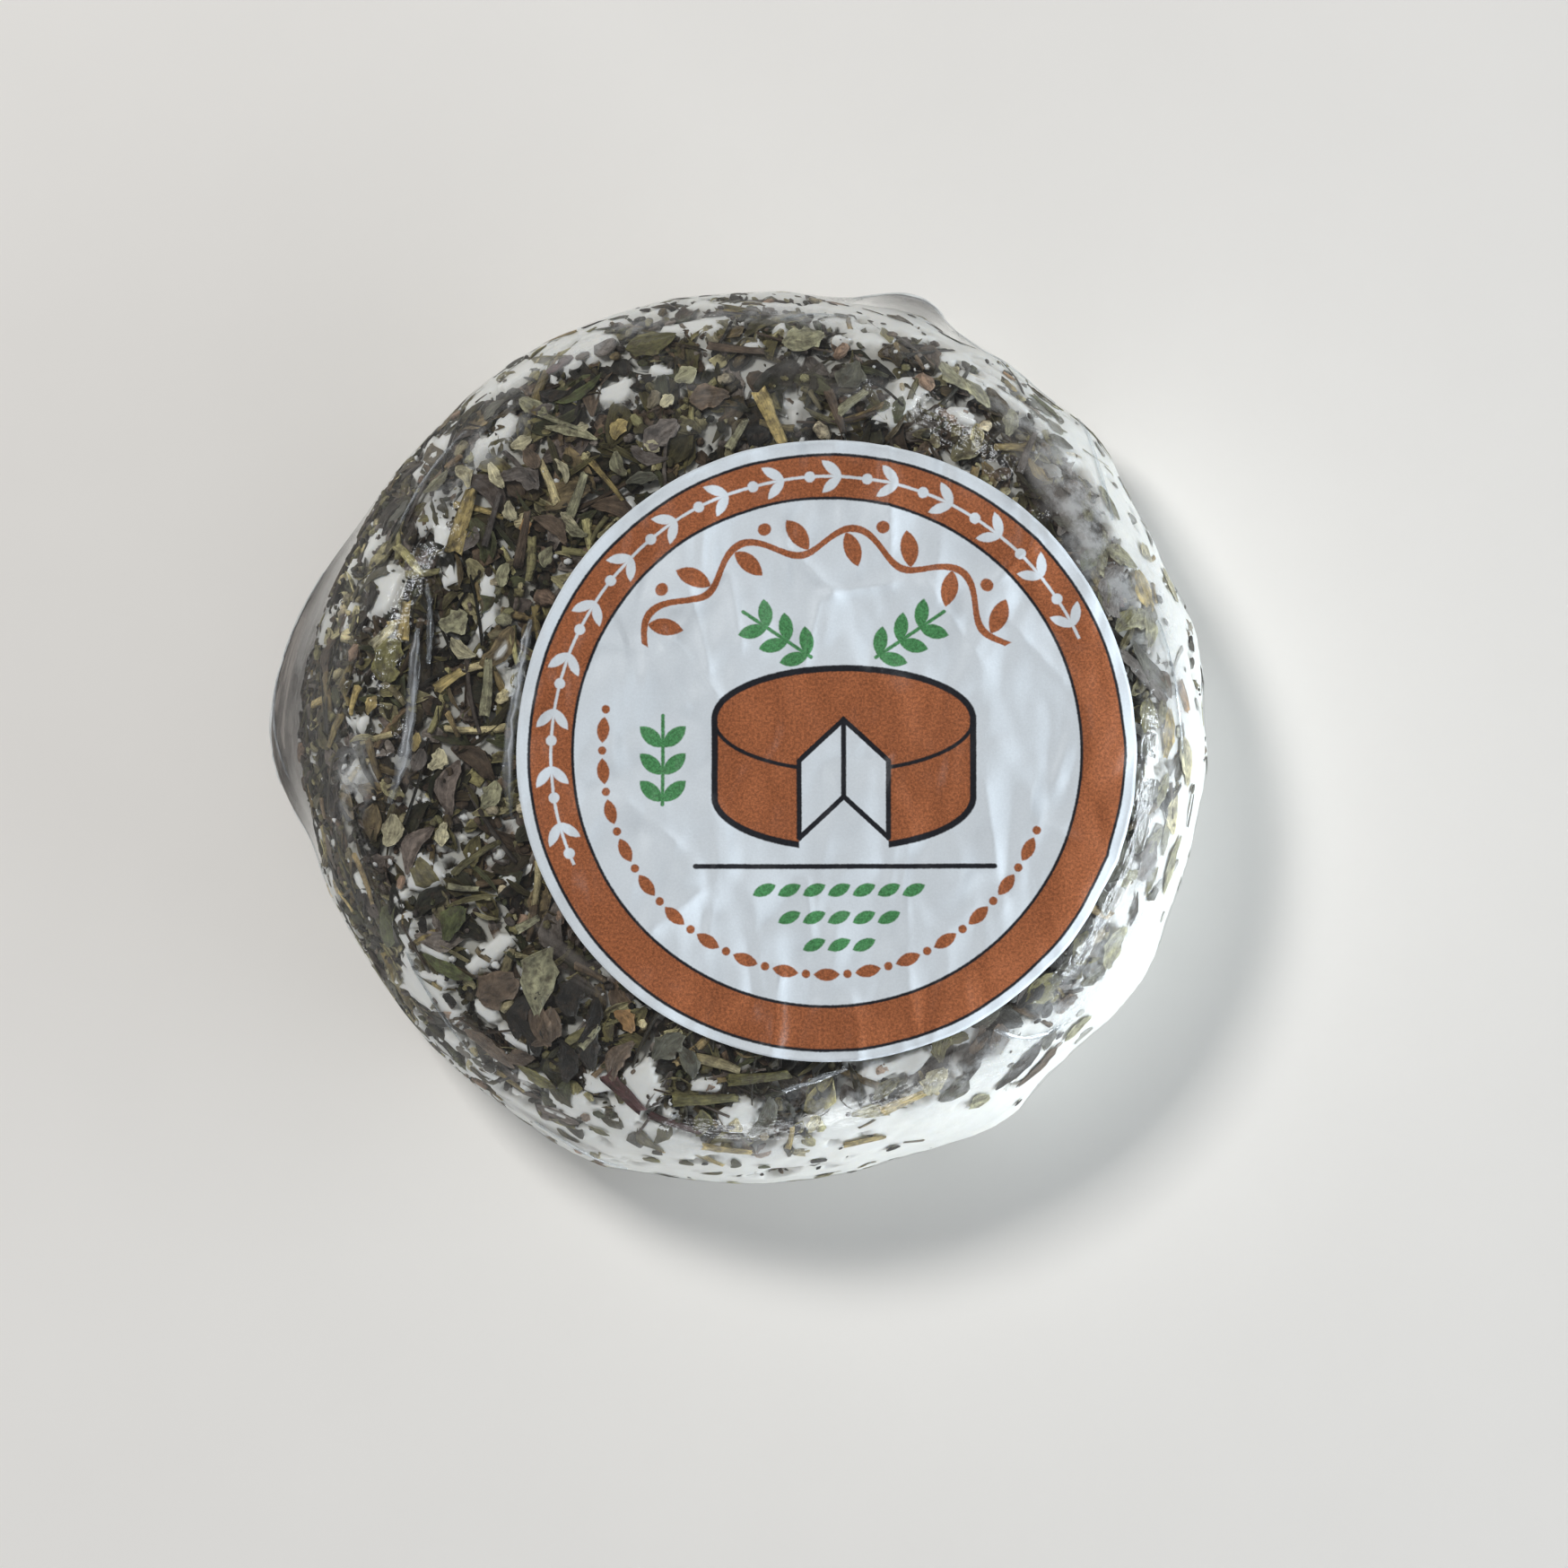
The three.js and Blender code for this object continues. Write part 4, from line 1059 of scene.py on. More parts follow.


# The film. Thin clear cling film pulled tight over the coated round and gathered in pleats under it. It
# lies on the highest herbs and on bare curd, spans the hollows and stands off in corners at the side.
# Where it lies in several layers, or curd has smeared its inner side, it is milky. The milk's dark colours
# are painted shade, and part of the pale smear is a painted sheen.
film_sides = 600
film_over = 0.04 * mm
film_climbs = np.concatenate([
    np.linspace(1.2 * mm, rim_climb - 1.2 * mm, 24),
    np.linspace(rim_climb - 0.4 * mm, inner_climb, 122),
    np.linspace(inner_climb + 1.4 * mm, curve_length - 1.2 * mm, 11),
])
corner_from = 0.25 * mm  # a corner that reaches out this far holds the film off the round
corner_slack = 0.2 * mm
tent_fall = 0.05 * mm  # how far the film falls from a high spot to the next place beside it
tightening, tight_around = 70, 0.5  # how often it is pulled, and how much of the pull goes round
milky_from, milky_over = 0.5, 2.3  # mm: the reach of a corner from which it turns milky, with painted shade, and over what more
milky_under_round = 0.6
patch_fade = 1.6  # a patch fades out from its rim to this many times its size
streaks_round, streaks_up = 60, 0.38  # how close the film's streaks of pull lie round it and up it
# Painted shade: the milk's dark colours stand in for the shade behind gathered film.
film_painted_shade, film_milk_painted_shade = (0.045, 0.036, 0.03, 1), (0.27, 0.245, 0.225, 1)
# The smear's pale colour is curd, and partly a painted sheen of the film.
film_smear_and_sheen = (0.73, 0.75, 0.76, 1)
most_mirrored = 0.078  # share of the light that the film mirrors at a glancing angle
layers_with_painted_shade = [  # where the film lies in several layers, its milk painted shade, as beside the label's lower left edge: pixel, half-length and half-width in mm, turn, share
    (1196, 566, 6.5, 2.6, -58, 0.42), (1010, 352, 6.0, 1.6, -20, 0.4), (1062, 1178, 4.5, 1.8, 25, 0.3),
    (1290, 720, 7.0, 2.2, -84, 0.22), (930, 420, 5.0, 2.0, -10, 0.16), (480, 560, 4.0, 1.2, 55, 0.25),
    (452, 830, 4.5, 0.9, 80, 0.3), (620, 1262, 4.0, 0.9, -35, 0.35), (638, 1076, 5.0, 1.0, -48, 0.35),
]
smears_and_painted_sheen = [  # where curd has smeared its inner side, part of it a painted sheen of the film, in the same way
    (1226, 590, 8.0, 2.8, -62, 0.42), (1150, 470, 7.0, 2.4, -42, 0.3), (1300, 700, 8.0, 2.6, -84, 0.32),
    (1300, 860, 9.0, 2.4, 90, 0.32), (1276, 1000, 8.0, 2.4, 72, 0.42), (1200, 1110, 9.0, 2.6, 48, 0.4),
    (1100, 1190, 7.0, 2.4, 30, 0.4), (960, 1230, 8.0, 2.0, 10, 0.32), (1016, 342, 6.0, 1.9, -18, 0.8),
    (900, 350, 7.0, 1.4, 0, 0.4), (660, 380, 7.0, 1.6, 28, 0.35), (380, 640, 5.0, 1.6, 60, 0.35),
    (392, 870, 3.0, 1.6, 80, 0.45), (540, 500, 5.0, 1.6, 45, 0.3), (820, 1280, 6.0, 1.4, 0, 0.3),
    (850, 440, 12.0, 3.0, 0, 0.08),
]

film_theta, film_climb = grid_of(film_sides, film_climbs)
rests_on = sampled(curd_out, curd_climbs, film_theta.ravel(), film_climb.ravel()).reshape(film_theta.shape)
row_of = np.arange(len(film_climbs))
for theta, climb, out, mesh in herb_objects:
    faces = np.zeros(len(mesh.polygons) * 3)
    mesh.polygons.foreach_get("center", faces)
    face_theta, face_climb, face_out = from_form(faces.reshape(-1, 3))
    turn = np.mod(np.append(theta, face_theta), 2 * math.pi)
    column = np.round(turn * film_sides / (2 * math.pi)).astype(int)
    row = np.round(np.interp(np.append(climb, face_climb), film_climbs, row_of)).astype(int)
    np.maximum.at(rests_on, (row, column % film_sides), np.append(out, face_out))
corners = corner_reach(film_theta, (0, 1)) * corner_stand(profile_at(film_climb)[1])
rests_on = np.maximum(rests_on, np.where(corners > corner_from, corners - corner_slack, rests_on))
for step in (-1, 1):
    rests_on = np.maximum(rests_on, np.roll(rests_on, step, 1) - tent_fall)


def pulled_tight(lies_on, times, around_share, edge_free=False):
    """A sheet pulled tight over what it lies on, and its outer edge, where it is free, kept straight."""
    out = lies_on.copy()
    for _ in range(times):
        around = (np.roll(out, 1, 1) + np.roll(out, -1, 1)) / 2
        along = around.copy()
        along[1:-1] = (out[:-2] + out[2:]) / 2
        if edge_free:
            along[-1] = 2 * out[-2] - out[-3]
        out = np.maximum(lies_on, around_share * around + (1 - around_share) * along)
    return out


film_out = pulled_tight(rests_on, tightening, tight_around) + film_over
film_free, film_inward = drawn_in(film_theta, film_climb)
film_out = film_out * film_free - (1 - film_free) * film_inward
film_rings = on_form(film_theta, film_climb, film_out)
film_rings[..., 2] = np.maximum(film_rings[..., 2], round_low)
film_mesh = wound_mesh("film", film_rings, film_rings[0].mean(0), film_rings[-1].mean(0))


def patchy(patches):
    """The greatest share of the patches over each point of the film."""
    share_now = np.zeros(film_theta.size)
    for *patch, share in patches:
        off = off_patch(film_rings.reshape(-1, 3), *patch)
        share_now = np.maximum(share_now, share * np.clip(patch_fade - off, 0, 1))
    return share_now


# Where the milk's painted shade lies: in the ears and corners, in layers, and drawn in under the round.
in_corners = np.clip((corners / mm - milky_from) / milky_over, 0, 1).ravel()
under_round = milky_under_round * (1 - film_free).ravel()
gathered = np.maximum(np.maximum(in_corners, patchy(layers_with_painted_shade)), under_round)
give_attribute(film_mesh, "gathered", np.append(gathered, [1, 0]))
give_attribute(film_mesh, "smeared", np.append(patchy(smears_and_painted_sheen), [0, 0]))
give_attribute(film_mesh, "climb", np.append(film_climb.ravel() / mm, [0, curve_length / mm]))

film_paint, tree = material("cling_film")
place = node(tree, "ShaderNodeTexCoord").outputs["Object"]
plan_scale = (streaks_round, streaks_round, 0)
plan = node(tree, "ShaderNodeVectorMath", {0: place, 1: plan_scale}, operation="MULTIPLY")
stretched = maths(tree, "MULTIPLY", attribute_of(tree, "climb"), streaks_up)
up_side = node(tree, "ShaderNodeCombineXYZ", {"Z": stretched})
along_pull = node(tree, "ShaderNodeVectorMath", {0: plan, 1: up_side}, operation="ADD")
streaks = noisy(tree, along_pull, 1.3, 4, 0.6, 0.4)
relief = maths(tree, "ADD", streaks, noisy(tree, place, 620, 3))
bump = node(tree, "ShaderNodeBump", {"Height": relief, "Strength": 0.75, "Distance": 0.2 * mm})
gloss = node(tree, "ShaderNodeBsdfGlossy", {
    "Color": (0.95, 0.96, 0.97, 1), "Roughness": 0.13, "Normal": bump,
})
# The milk is painted shade, a dark colour that turns lighter along the streaks.
film_milk_colour_painted_shade = mixed(tree, spread(tree, streaks, 0.46, 0.6, 0, 1), film_painted_shade, film_milk_painted_shade)
milk_with_painted_light = node(tree, "ShaderNodeBsdfDiffuse", {"Color": film_milk_colour_painted_shade, "Normal": bump})
clear = node(tree, "ShaderNodeBsdfTransparent", {"Color": (0.975, 0.977, 0.975, 1)})
thin_haze = spread(tree, streaks, 0.45, 0.7, 0, 0.05)
thick_haze = spread(tree, streaks, 0.36, 0.6, 0.52, 0.9)
haze_and_shade_share = mixed(tree, attribute_of(tree, "gathered"), thin_haze, thick_haze)
hazy_with_painted_light = node(tree, "ShaderNodeMixShader", {0: haze_and_shade_share, 1: clear, 2: milk_with_painted_light})
# The smear also paints the film's sheen, as a pale daubed veil.
daubed = spread(tree, noisy(tree, place, 420, 6, 0.66), 0.42, 0.62, 0, 1)
smear = maths(tree, "MULTIPLY", attribute_of(tree, "smeared"), daubed)
curd_smear_and_sheen = node(tree, "ShaderNodeBsdfDiffuse", {"Color": film_smear_and_sheen})
smeared = node(tree, "ShaderNodeMixShader", {0: smear, 1: hazy_with_painted_light, 2: curd_smear_and_sheen})
facing = node(tree, "ShaderNodeFresnel", {"IOR": 1.45, "Normal": bump})
mirror = maths(tree, "MINIMUM", facing, most_mirrored)
surface = node(tree, "ShaderNodeMixShader", {0: mirror, 1: smeared, 2: gloss})
node(tree, "ShaderNodeOutputMaterial", {"Surface": surface})
film_mesh.materials.append(film_paint)
film = object_of(film_mesh, "film_wrap")
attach(film, "root")
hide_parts("wrapped_cheese")


# The film's folds. Where the film was pulled tight it doubled over itself in narrow welts that shine, down
# the side, along the label's edge and in the ear at the left.
# Their white milk is partly the haze of the doubled film and partly a painted highlight line.
film_folds = [  # the pixels along each, its width and height in mm, how milky its middle is, with a painted highlight line
    ([(476, 650), (481, 690), (477, 740)], 0.5, 0.1, 0.3),
    ([(466, 700), (460, 790), (450, 850), (434, 896)], 1.1, 0.15, 0.55),
    ([(592, 690), (580, 740), (572, 800), (571, 912)], 0.9, 0.22, 0.95),
    ([(348, 700), (345, 780), (347, 866)], 0.5, 0.16, 0.3),
    ([(336, 836), (338, 856), (346, 880)], 0.4, 0.18, 0.4),
    ([(372, 640), (356, 690), (346, 740)], 0.6, 0.16, 0.3),
    ([(327, 742), (319, 800), (324, 850)], 0.5, 0.2, 0.4),
    ([(332, 890), (352, 948), (368, 1002)], 0.4, 0.14, 0.3),
    ([(596, 1250), (640, 1275), (700, 1301)], 0.6, 0.16, 0.4),
    ([(872, 1217), (905, 1206), (944, 1191)], 0.5, 0.12, 0.4),
    ([(950, 331), (1004, 338), (1052, 356)], 0.5, 0.2, 0.35),
    ([(1066, 372), (1120, 398), (1180, 446)], 0.5, 0.14, 0.35),
    ([(1196, 470), (1222, 520), (1240, 580)], 0.5, 0.12, 0.35),
    ([(520, 480), (480, 524), (446, 584)], 0.5, 0.1, 0.2),
    ([(1108, 1148), (1150, 1160), (1196, 1136)], 0.5, 0.12, 0.3),
    ([(452, 1060), (486, 1120), (530, 1180)], 0.4, 0.1, 0.2),
    ([(1290, 690), (1310, 760), (1318, 840)], 0.5, 0.12, 0.3),
    ([(868, 356), (900, 350), (942, 352)], 0.4, 0.1, 0.3),
]
fold_steps = np.linspace(0, 1, 22)[:, None]
fold_across = np.linspace(-1, 1, 7)[None, :]
fold_sunk = 0.01  # mm: how far a welt's rims are sunk in the film
fold_thick = 0.04  # mm, and a fifth of its height is filled


def fold_sheet(pixels, width, high):
    """A welt of film along the pixels: low and closed at both ends, with its rims sunk in the film."""
    path = np.array([under_pixel(*pixel) for pixel in pixels])
    path[:, 0] = np.unwrap(path[:, 0])
    path = rounded(path, 3)
    run = np.linspace(0, 1, len(path))
    theta, climb = (np.interp(fold_steps[:, 0], run, path[:, k]) for k in (0, 1))
    spine = on_form(theta, climb, 0)
    ahead = np.gradient(spine, axis=0)
    sideways = np.cross(out_direction(theta, climb), ahead)
    sideways /= np.linalg.norm(sideways, axis=1)[:, None]
    swell = np.sin(math.pi * (0.04 + 0.92 * fold_steps)) ** 0.6
    swell = swell * (1 + 0.2 * np.sin(17 * fold_steps + 9 * width))
    flat = spine[:, None] + sideways[:, None] * (fold_across * swell)[..., None] * width / 2 * mm
    theta, climb, _ = from_form(flat.reshape(-1, 3))
    lying = sampled(film_out, film_climbs, theta, climb)
    crest = (high * swell * np.cos(fold_across * math.pi / 2) ** 0.8).ravel()
    over, under = (
        on_form(theta, climb, lying + lift * mm).reshape(*flat.shape)
        for lift in (crest - fold_sunk, crest * 0.8 - fold_sunk - fold_thick))
    across, along = fold_across + 0 * fold_steps, fold_steps + 0 * fold_across
    return sheet_mesh("fold", over, under, np.abs(across), across, along)


highlight_across = ((-1, -0.34, 0, 0.34, 0.67, 1), (0, 0.1, 0.25, 1, 0.15, 0))  # a painted highlight line off its middle
fold_points, fold_faces, fold_milk_and_highlight = [], [], []
for pixels, width, high, milkiness in film_folds:
    sheet = fold_sheet(pixels, width, high)
    offset = sum(len(part) for part in fold_points)
    fold_points.append([tuple(vertex.co) for vertex in sheet.vertices])
    across, along = (
        np.array([item.value for item in sheet.attributes[name].data]) for name in ("across", "along"))
    fold_milk_and_highlight.append(milkiness * np.sin(math.pi * along) ** 0.7 * np.interp(across, *highlight_across))
    fold_faces += [[k + offset for k in face.vertices] for face in sheet.polygons]
    bpy.data.meshes.remove(sheet)
fold_mesh = bpy.data.meshes.new("film_folds")
fold_mesh.from_pydata([point for part in fold_points for point in part], [], fold_faces)
fold_mesh.shade_smooth()
give_attribute(fold_mesh, "milkiness", np.concatenate(fold_milk_and_highlight))

fold_paint, tree = material("folded_film")
place = node(tree, "ShaderNodeTexCoord").outputs["Object"]
shine = spread(tree, node(tree, "ShaderNodeFresnel", {"IOR": 1.6}), 0, 1, 0.03, 0.25)
clear = node(tree, "ShaderNodeBsdfTransparent", {"Color": (0.97, 0.98, 0.985, 1)})
# The milk is white: partly the haze of the doubled film, partly a painted highlight.
milk_with_painted_light = node(tree, "ShaderNodeBsdfDiffuse", {"Color": (0.7, 0.74, 0.79, 1)})
uneven = spread(tree, noisy(tree, place, 420, 4, 0.65), 0.38, 0.6, 0.35, 1)
cloudy = maths(tree, "MULTIPLY", attribute_of(tree, "milkiness"), uneven)
hazy_with_painted_light = node(tree, "ShaderNodeMixShader", {0: cloudy, 1: clear, 2: milk_with_painted_light})
gloss = node(tree, "ShaderNodeBsdfGlossy", {"Color": (0.95, 0.97, 1, 1), "Roughness": 0.25})
surface = node(tree, "ShaderNodeMixShader", {0: shine, 1: hazy_with_painted_light, 2: gloss})
node(tree, "ShaderNodeOutputMaterial", {"Surface": surface})
fold_mesh.materials.append(fold_paint)
folds = object_of(fold_mesh, "film_folds")
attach(folds, "root")


# The label. A round sticker of semi-gloss paper, stuck on by hand off the middle, so that its right edge
# bends down over the shoulder. It follows the lumps under it, is crumpled and has a few sharp little creases.
paper_thick = 0.12 * mm
label_rings = 100
label_sides = 330
stiff_rings = 5
stiff_run = 5  # how far along the rim a lump lifts it, in points to either hand
walk_steps = 40
paper_tightening, paper_around = 60, 0.3
crease_growth, crease_fade = 1.35, 1.6  # mm, past either end
crumple_small, crumple_broad = 0.3 * mm, 0.9 * mm
paper_over, paper_least_over = 0.09 * mm, 0.05 * mm  # how high it lies over the film
creases = [  # from, to, height, width, in mm on the flat paper
    ((0.6, 24.8), (1.4, 18.5), 0.24, 0.4), ((5.0, 24.6), (5.2, 16.5), 0.36, 0.36),
    ((-13.5, 7.6), (-11.2, 3.6), 0.3, 0.8), ((-12.8, 9.6), (-8.6, 4.2), 0.24, 0.8),
    ((-10.2, 12.0), (-12.6, 8.8), 0.3, 0.8), ((-17.5, -3.0), (-12.0, -7.5), 0.2, 0.7),
    ((-3.6, -18.0), (-4.4, -24.5), 0.22, 0.5), ((8.0, 13.5), (12.5, 7.0), 0.18, 0.7),
    ((15.0, 10.0), (19.0, 5.5), 0.2, 0.6), ((-3.2, 16.5), (0.6, 12.6), 0.34, 0.6),
    ((0.6, 12.6), (5.4, 13.4), 0.3, 0.6), ((-0.6, 12.0), (-1.6, 7.0), 0.24, 0.7),
    ((17.5, 17.5), (14.0, 13.8), 0.24, 0.4), ((2.0, -20.0), (2.6, -24.8), 0.18, 0.4),
    ((-11.0, 13.5), (-9.4, 6.5), 0.24, 0.5), ((-8.2, 16.8), (-6.8, 8.5), 0.2, 0.6),
    ((9.5, 20.5), (8.8, 12.0), 0.14, 0.6), ((12.8, -3.0), (14.2, -12.5), 0.16, 0.7),
    ((-1.5, -11.0), (-1.0, -18.0), 0.14, 0.6), ((6.5, -12.5), (6.8, -21.5), 0.16, 0.6),
    ((-19.0, 9.0), (-14.8, 8.2), 0.2, 0.5), ((17.0, -6.0), (23.5, -9.0), 0.18, 0.6),
    ((-14.0, -14.5), (-10.0, -11.5), 0.18, 0.6),
]


def top_height(x, y):
    inset = reach(np.arctan2(y, x)) - np.hypot(x, y)
    height = np.interp(climb_at(inset), climb_table, curve[:, 1])
    return height + flat_share(height) * top_wave(x, y)


# Every point of the flat paper is walked to from its middle over the bent top, so that it keeps its distance.
paper_turns = np.arange(label_sides) * 2 * math.pi / label_sides
paper_phi, paper_length = np.meshgrid(paper_turns, label_radius * np.arange(1, label_rings + 1) / label_rings)
ahead_x, ahead_y = np.cos(paper_phi), np.sin(paper_phi)
paper_x, paper_y = (np.full(paper_phi.shape, label_middle[k]) for k in (0, 1))
walk = paper_length / walk_steps
for _ in range(walk_steps):
    ahead = top_height(paper_x + walk * ahead_x, paper_y + walk * ahead_y)
    steepness = np.hypot(1, (ahead - top_height(paper_x, paper_y)) / walk)
    paper_x = paper_x + walk * ahead_x / steepness
    paper_y = paper_y + walk * ahead_y / steepness
paper_theta = np.arctan2(paper_y, paper_x)
paper_climb = climb_at(reach(paper_theta) - np.hypot(paper_x, paper_y))
film_tops = film_out.copy()
for step in (-1, 1):
    film_tops = np.maximum(film_tops, np.roll(film_out, step, 1))
    film_tops = np.maximum(film_tops, np.roll(film_out, step, 0))
lies_on = sampled(film_tops, film_climbs, paper_theta.ravel(), paper_climb.ravel()).reshape(paper_phi.shape)
paper_out = pulled_tight(lies_on, paper_tightening, paper_around, edge_free=True)

# Its stiff rim bridges the small lumps.
rim = paper_out[-stiff_rings:]
stiff = rim
for step in range(-stiff_run, stiff_run + 1):
    stiff = np.maximum(stiff, np.roll(rim, step, 1))
stiff = sum(np.roll(stiff, step, 1) for step in range(-stiff_run, stiff_run + 1)) / (2 * stiff_run + 1)
paper_out[-stiff_rings:] += (stiff - rim) * np.linspace(0.2, 1, stiff_rings)[:, None]

paper_u, paper_v = paper_length * np.cos(paper_phi), paper_length * np.sin(paper_phi)
for (x0, y0), (x1, y1), high, wide in creases:
    run = np.hypot(x1 - x0, y1 - y0)
    share = ((paper_u / mm - x0) * (x1 - x0) + (paper_v / mm - y0) * (y1 - y0)) / run ** 2
    off = ((paper_u / mm - x0) * (y1 - y0) - (paper_v / mm - y0) * (x1 - x0)) / run
    fade = np.clip(1 - np.maximum(0, np.abs(share - 0.5) - 0.5) * run / crease_fade, 0, 1) ** 2
    paper_out += crease_growth * high * mm * np.exp(-np.abs(off) / wide) * fade
flat_places = np.stack([paper_u.ravel(), paper_v.ravel(), 0 * paper_u.ravel()], -1)
paper_out += crumple_small * cloud(flat_places, 6.5 * mm, 3, 8).reshape(paper_out.shape)
to_left = np.clip(0.75 - paper_u / (26 * mm), 0.25, 1)
paper_out += crumple_broad * to_left * np.abs(cloud(flat_places, 9 * mm, 2, 12)).reshape(paper_out.shape)
paper_out = np.maximum(paper_out + paper_over, lies_on + paper_least_over)
label_faces = [on_form(paper_theta, paper_climb, paper_out + lift) for lift in (0, paper_thick)]
middle_theta = math.atan2(label_middle[1], label_middle[0])
middle_climb = float(climb_at(reach(middle_theta) - np.hypot(*label_middle)))
poles = [on_form(middle_theta, middle_climb, paper_out[0].mean() + lift) for lift in (0, paper_thick)]
label_mesh = wound_mesh("label", np.concatenate([label_faces[0], label_faces[1][::-1]]), *poles)
flat = np.stack([paper_u, paper_v], -1).reshape(-1, 2)
flat_over = np.stack([paper_u[::-1], paper_v[::-1]], -1).reshape(-1, 2)
paper_uv = 0.5 + np.concatenate([flat, flat_over, [(0, 0), (0, 0)]]) / (2 * label_radius)
corner_vertex = np.empty(len(label_mesh.loops), np.int32)
label_mesh.loops.foreach_get("vertex_index", corner_vertex)
corner_uv = paper_uv[corner_vertex].ravel().astype(np.float32)
label_mesh.uv_layers.new(name="paper").data.foreach_set("uv", corner_uv)

# The print is drawn in mm from the paper's middle, and its edges are a little uneven, as ink bleeds.
label_paint, tree = material("printed_label")
label_mesh.materials.append(label_paint)


def sums(operation, *values):
    """Numbers worked out in the label's paint. A shape is how far each place lies outside it, in mm."""
    return maths(tree, operation, *values)


def vectors(operation, *values):
    return node(tree, "ShaderNodeVectorMath", dict(enumerate(values)), operation=operation)


def lengths(operation, *values):
    return vectors(operation, *values).outputs["Value"]


def parts_of(place):
    return node(tree, "ShaderNodeSeparateXYZ", {0: place}).outputs


def off_line(value, centre, half):
    """How far a number lies past a span about a centre, less than 0 inside it."""
    return sums("SUBTRACT", sums("ABSOLUTE", sums("SUBTRACT", value, centre)), half)


def disc(place, x, y, radius):
    return sums("SUBTRACT", lengths("DISTANCE", place, (x, y, 0)), radius)


def ellipse(place, x, y, half_x, half_y):
    off = vectors("SUBTRACT", place, (x, y, 0))
    share = lengths("LENGTH", vectors("DIVIDE", off, (half_x, half_y, 1)))
    steep = lengths("LENGTH", vectors("DIVIDE", off, (half_x ** 2, half_y ** 2, 1)))
    return sums("DIVIDE", sums("MULTIPLY", share, sums("SUBTRACT", share, 1)), steep)


def stroke(place, start, end, thick):
    line = Vector((*end, 0)) - Vector((*start, 0))
    off = vectors("SUBTRACT", place, (*start, 0))
    share = sums("MULTIPLY", lengths("DOT_PRODUCT", off, tuple(line / line.length_squared)), 1)
    share.use_clamp = True
    return sums("SUBTRACT", lengths("DISTANCE", off, scaled(tree, tuple(line), share)), thick / 2)


def turned_round(place, x, y, angle):
    return node(tree, "ShaderNodeVectorRotate", {
        "Vector": place, "Center": (x, y, 0), "Angle": -angle,
    }, rotation_type="Z_AXIS")


def leaf_shape(place, x, y, angle, length, width):
    """A pointed leaf, where two circles overlap."""
    folded = vectors("ABSOLUTE", vectors("SUBTRACT", turned_round(place, x, y, angle), (x, y, 0)))
    bow = (length ** 2 / 4 - width ** 2 / 4) / width
    return sums("SUBTRACT", lengths("DISTANCE", folded, (0, -bow, 0)), bow + width / 2)


def either(first, *others):
    for shape in others:
        first = sums("MINIMUM", first, shape)
    return first


def both(first, *others):
    for shape in others:
        first = sums("MAXIMUM", first, shape)
    return first


def inked(under, shape, colour, soft=0.05):
    """The colour printed over what is under it, inside a shape."""
    return mixed(tree, spread(tree, shape, -soft, soft, 1, 0), under, colour)


def round_the_arc(place, radius, repeats, first, last):
    """Places in one repeat of a ring, across and outward in mm, and how far past the first or last repeat."""
    parts = parts_of(place)
    turn_now = sums("DIVIDE", sums("ARCTAN2", parts["Y"], parts["X"]), 2 * math.pi)
    within = sums("SUBTRACT", sums("FRACT", sums("MULTIPLY", turn_now, repeats)), 0.5)
    around = 2 * math.pi * radius
    local = node(tree, "ShaderNodeCombineXYZ", {
        "X": sums("MULTIPLY", within, around / repeats),
        "Y": sums("SUBTRACT", lengths("LENGTH", place), radius),
    })
    off_middle = sums("WRAP", sums("SUBTRACT", turn_now, (first + last) / 2 / repeats), 0.5, -0.5)
    past = sums("SUBTRACT", sums("ABSOLUTE", off_middle), (last - first) / 2 / repeats)
    return local, sums("MULTIPLY", past, around)


def sprig(place, x, y, angle, length, leaf_long, leaf_wide, pairs=3):
    """A stem with pairs of leaves."""
    turned = turned_round(place, x, y, math.radians(angle))
    parts = parts_of(vectors("SUBTRACT", turned, (x, y, 0)))
    step = length / pairs
    within = sums("SUBTRACT", sums("MODULO", sums("ADD", parts["X"], 10 * step), step), 0.12 * step)
    local = node(tree, "ShaderNodeCombineXYZ", {"X": within, "Y": sums("ABSOLUTE", parts["Y"])})
    slant = math.radians(48)
    leaf_x, leaf_y = leaf_long / 2 * math.cos(slant), leaf_long / 2 * math.sin(slant)
    leaf = leaf_shape(local, leaf_x, leaf_y, slant, leaf_long, leaf_wide)
    stem = stroke(turned, (x, y), (x + length + 0.6, y), 0.3)
    return either(stem, both(leaf, off_line(parts["X"], length / 2, length / 2)))


label_wide = 50
ink_bleed = 0.09
uv = node(tree, "ShaderNodeUVMap", uv_map="paper")
flat_mm = vectors("MULTIPLY", vectors("SUBTRACT", uv, (0.5, 0.5, 0)), (label_wide, label_wide, 0))
bleed = vectors("SUBTRACT", noisy(tree, flat_mm, 5, 3).outputs["Color"], (0.5, 0.5, 0.5))
ink_place = vectors("MULTIPLY", vectors("ADD", flat_mm, scaled(tree, bleed, ink_bleed)), (1, 1, 0))
rust, black = (0.36, 0.118, 0.046, 1), (0.012, 0.013, 0.018, 1)
green, white = (0.075, 0.27, 0.10, 1), (0.755, 0.825, 0.89, 1)
ring_in, ring_out, line_wide = 20.5, 24.0, 0.24
ring_off = (0, -0.15, 0)
off_centre = vectors("SUBTRACT", ink_place, ring_off)
radius_now = lengths("LENGTH", off_centre)
ring = both(sums("SUBTRACT", radius_now, ring_out), sums("SUBTRACT", ring_in, radius_now))
print_now = inked(white, ring, rust)

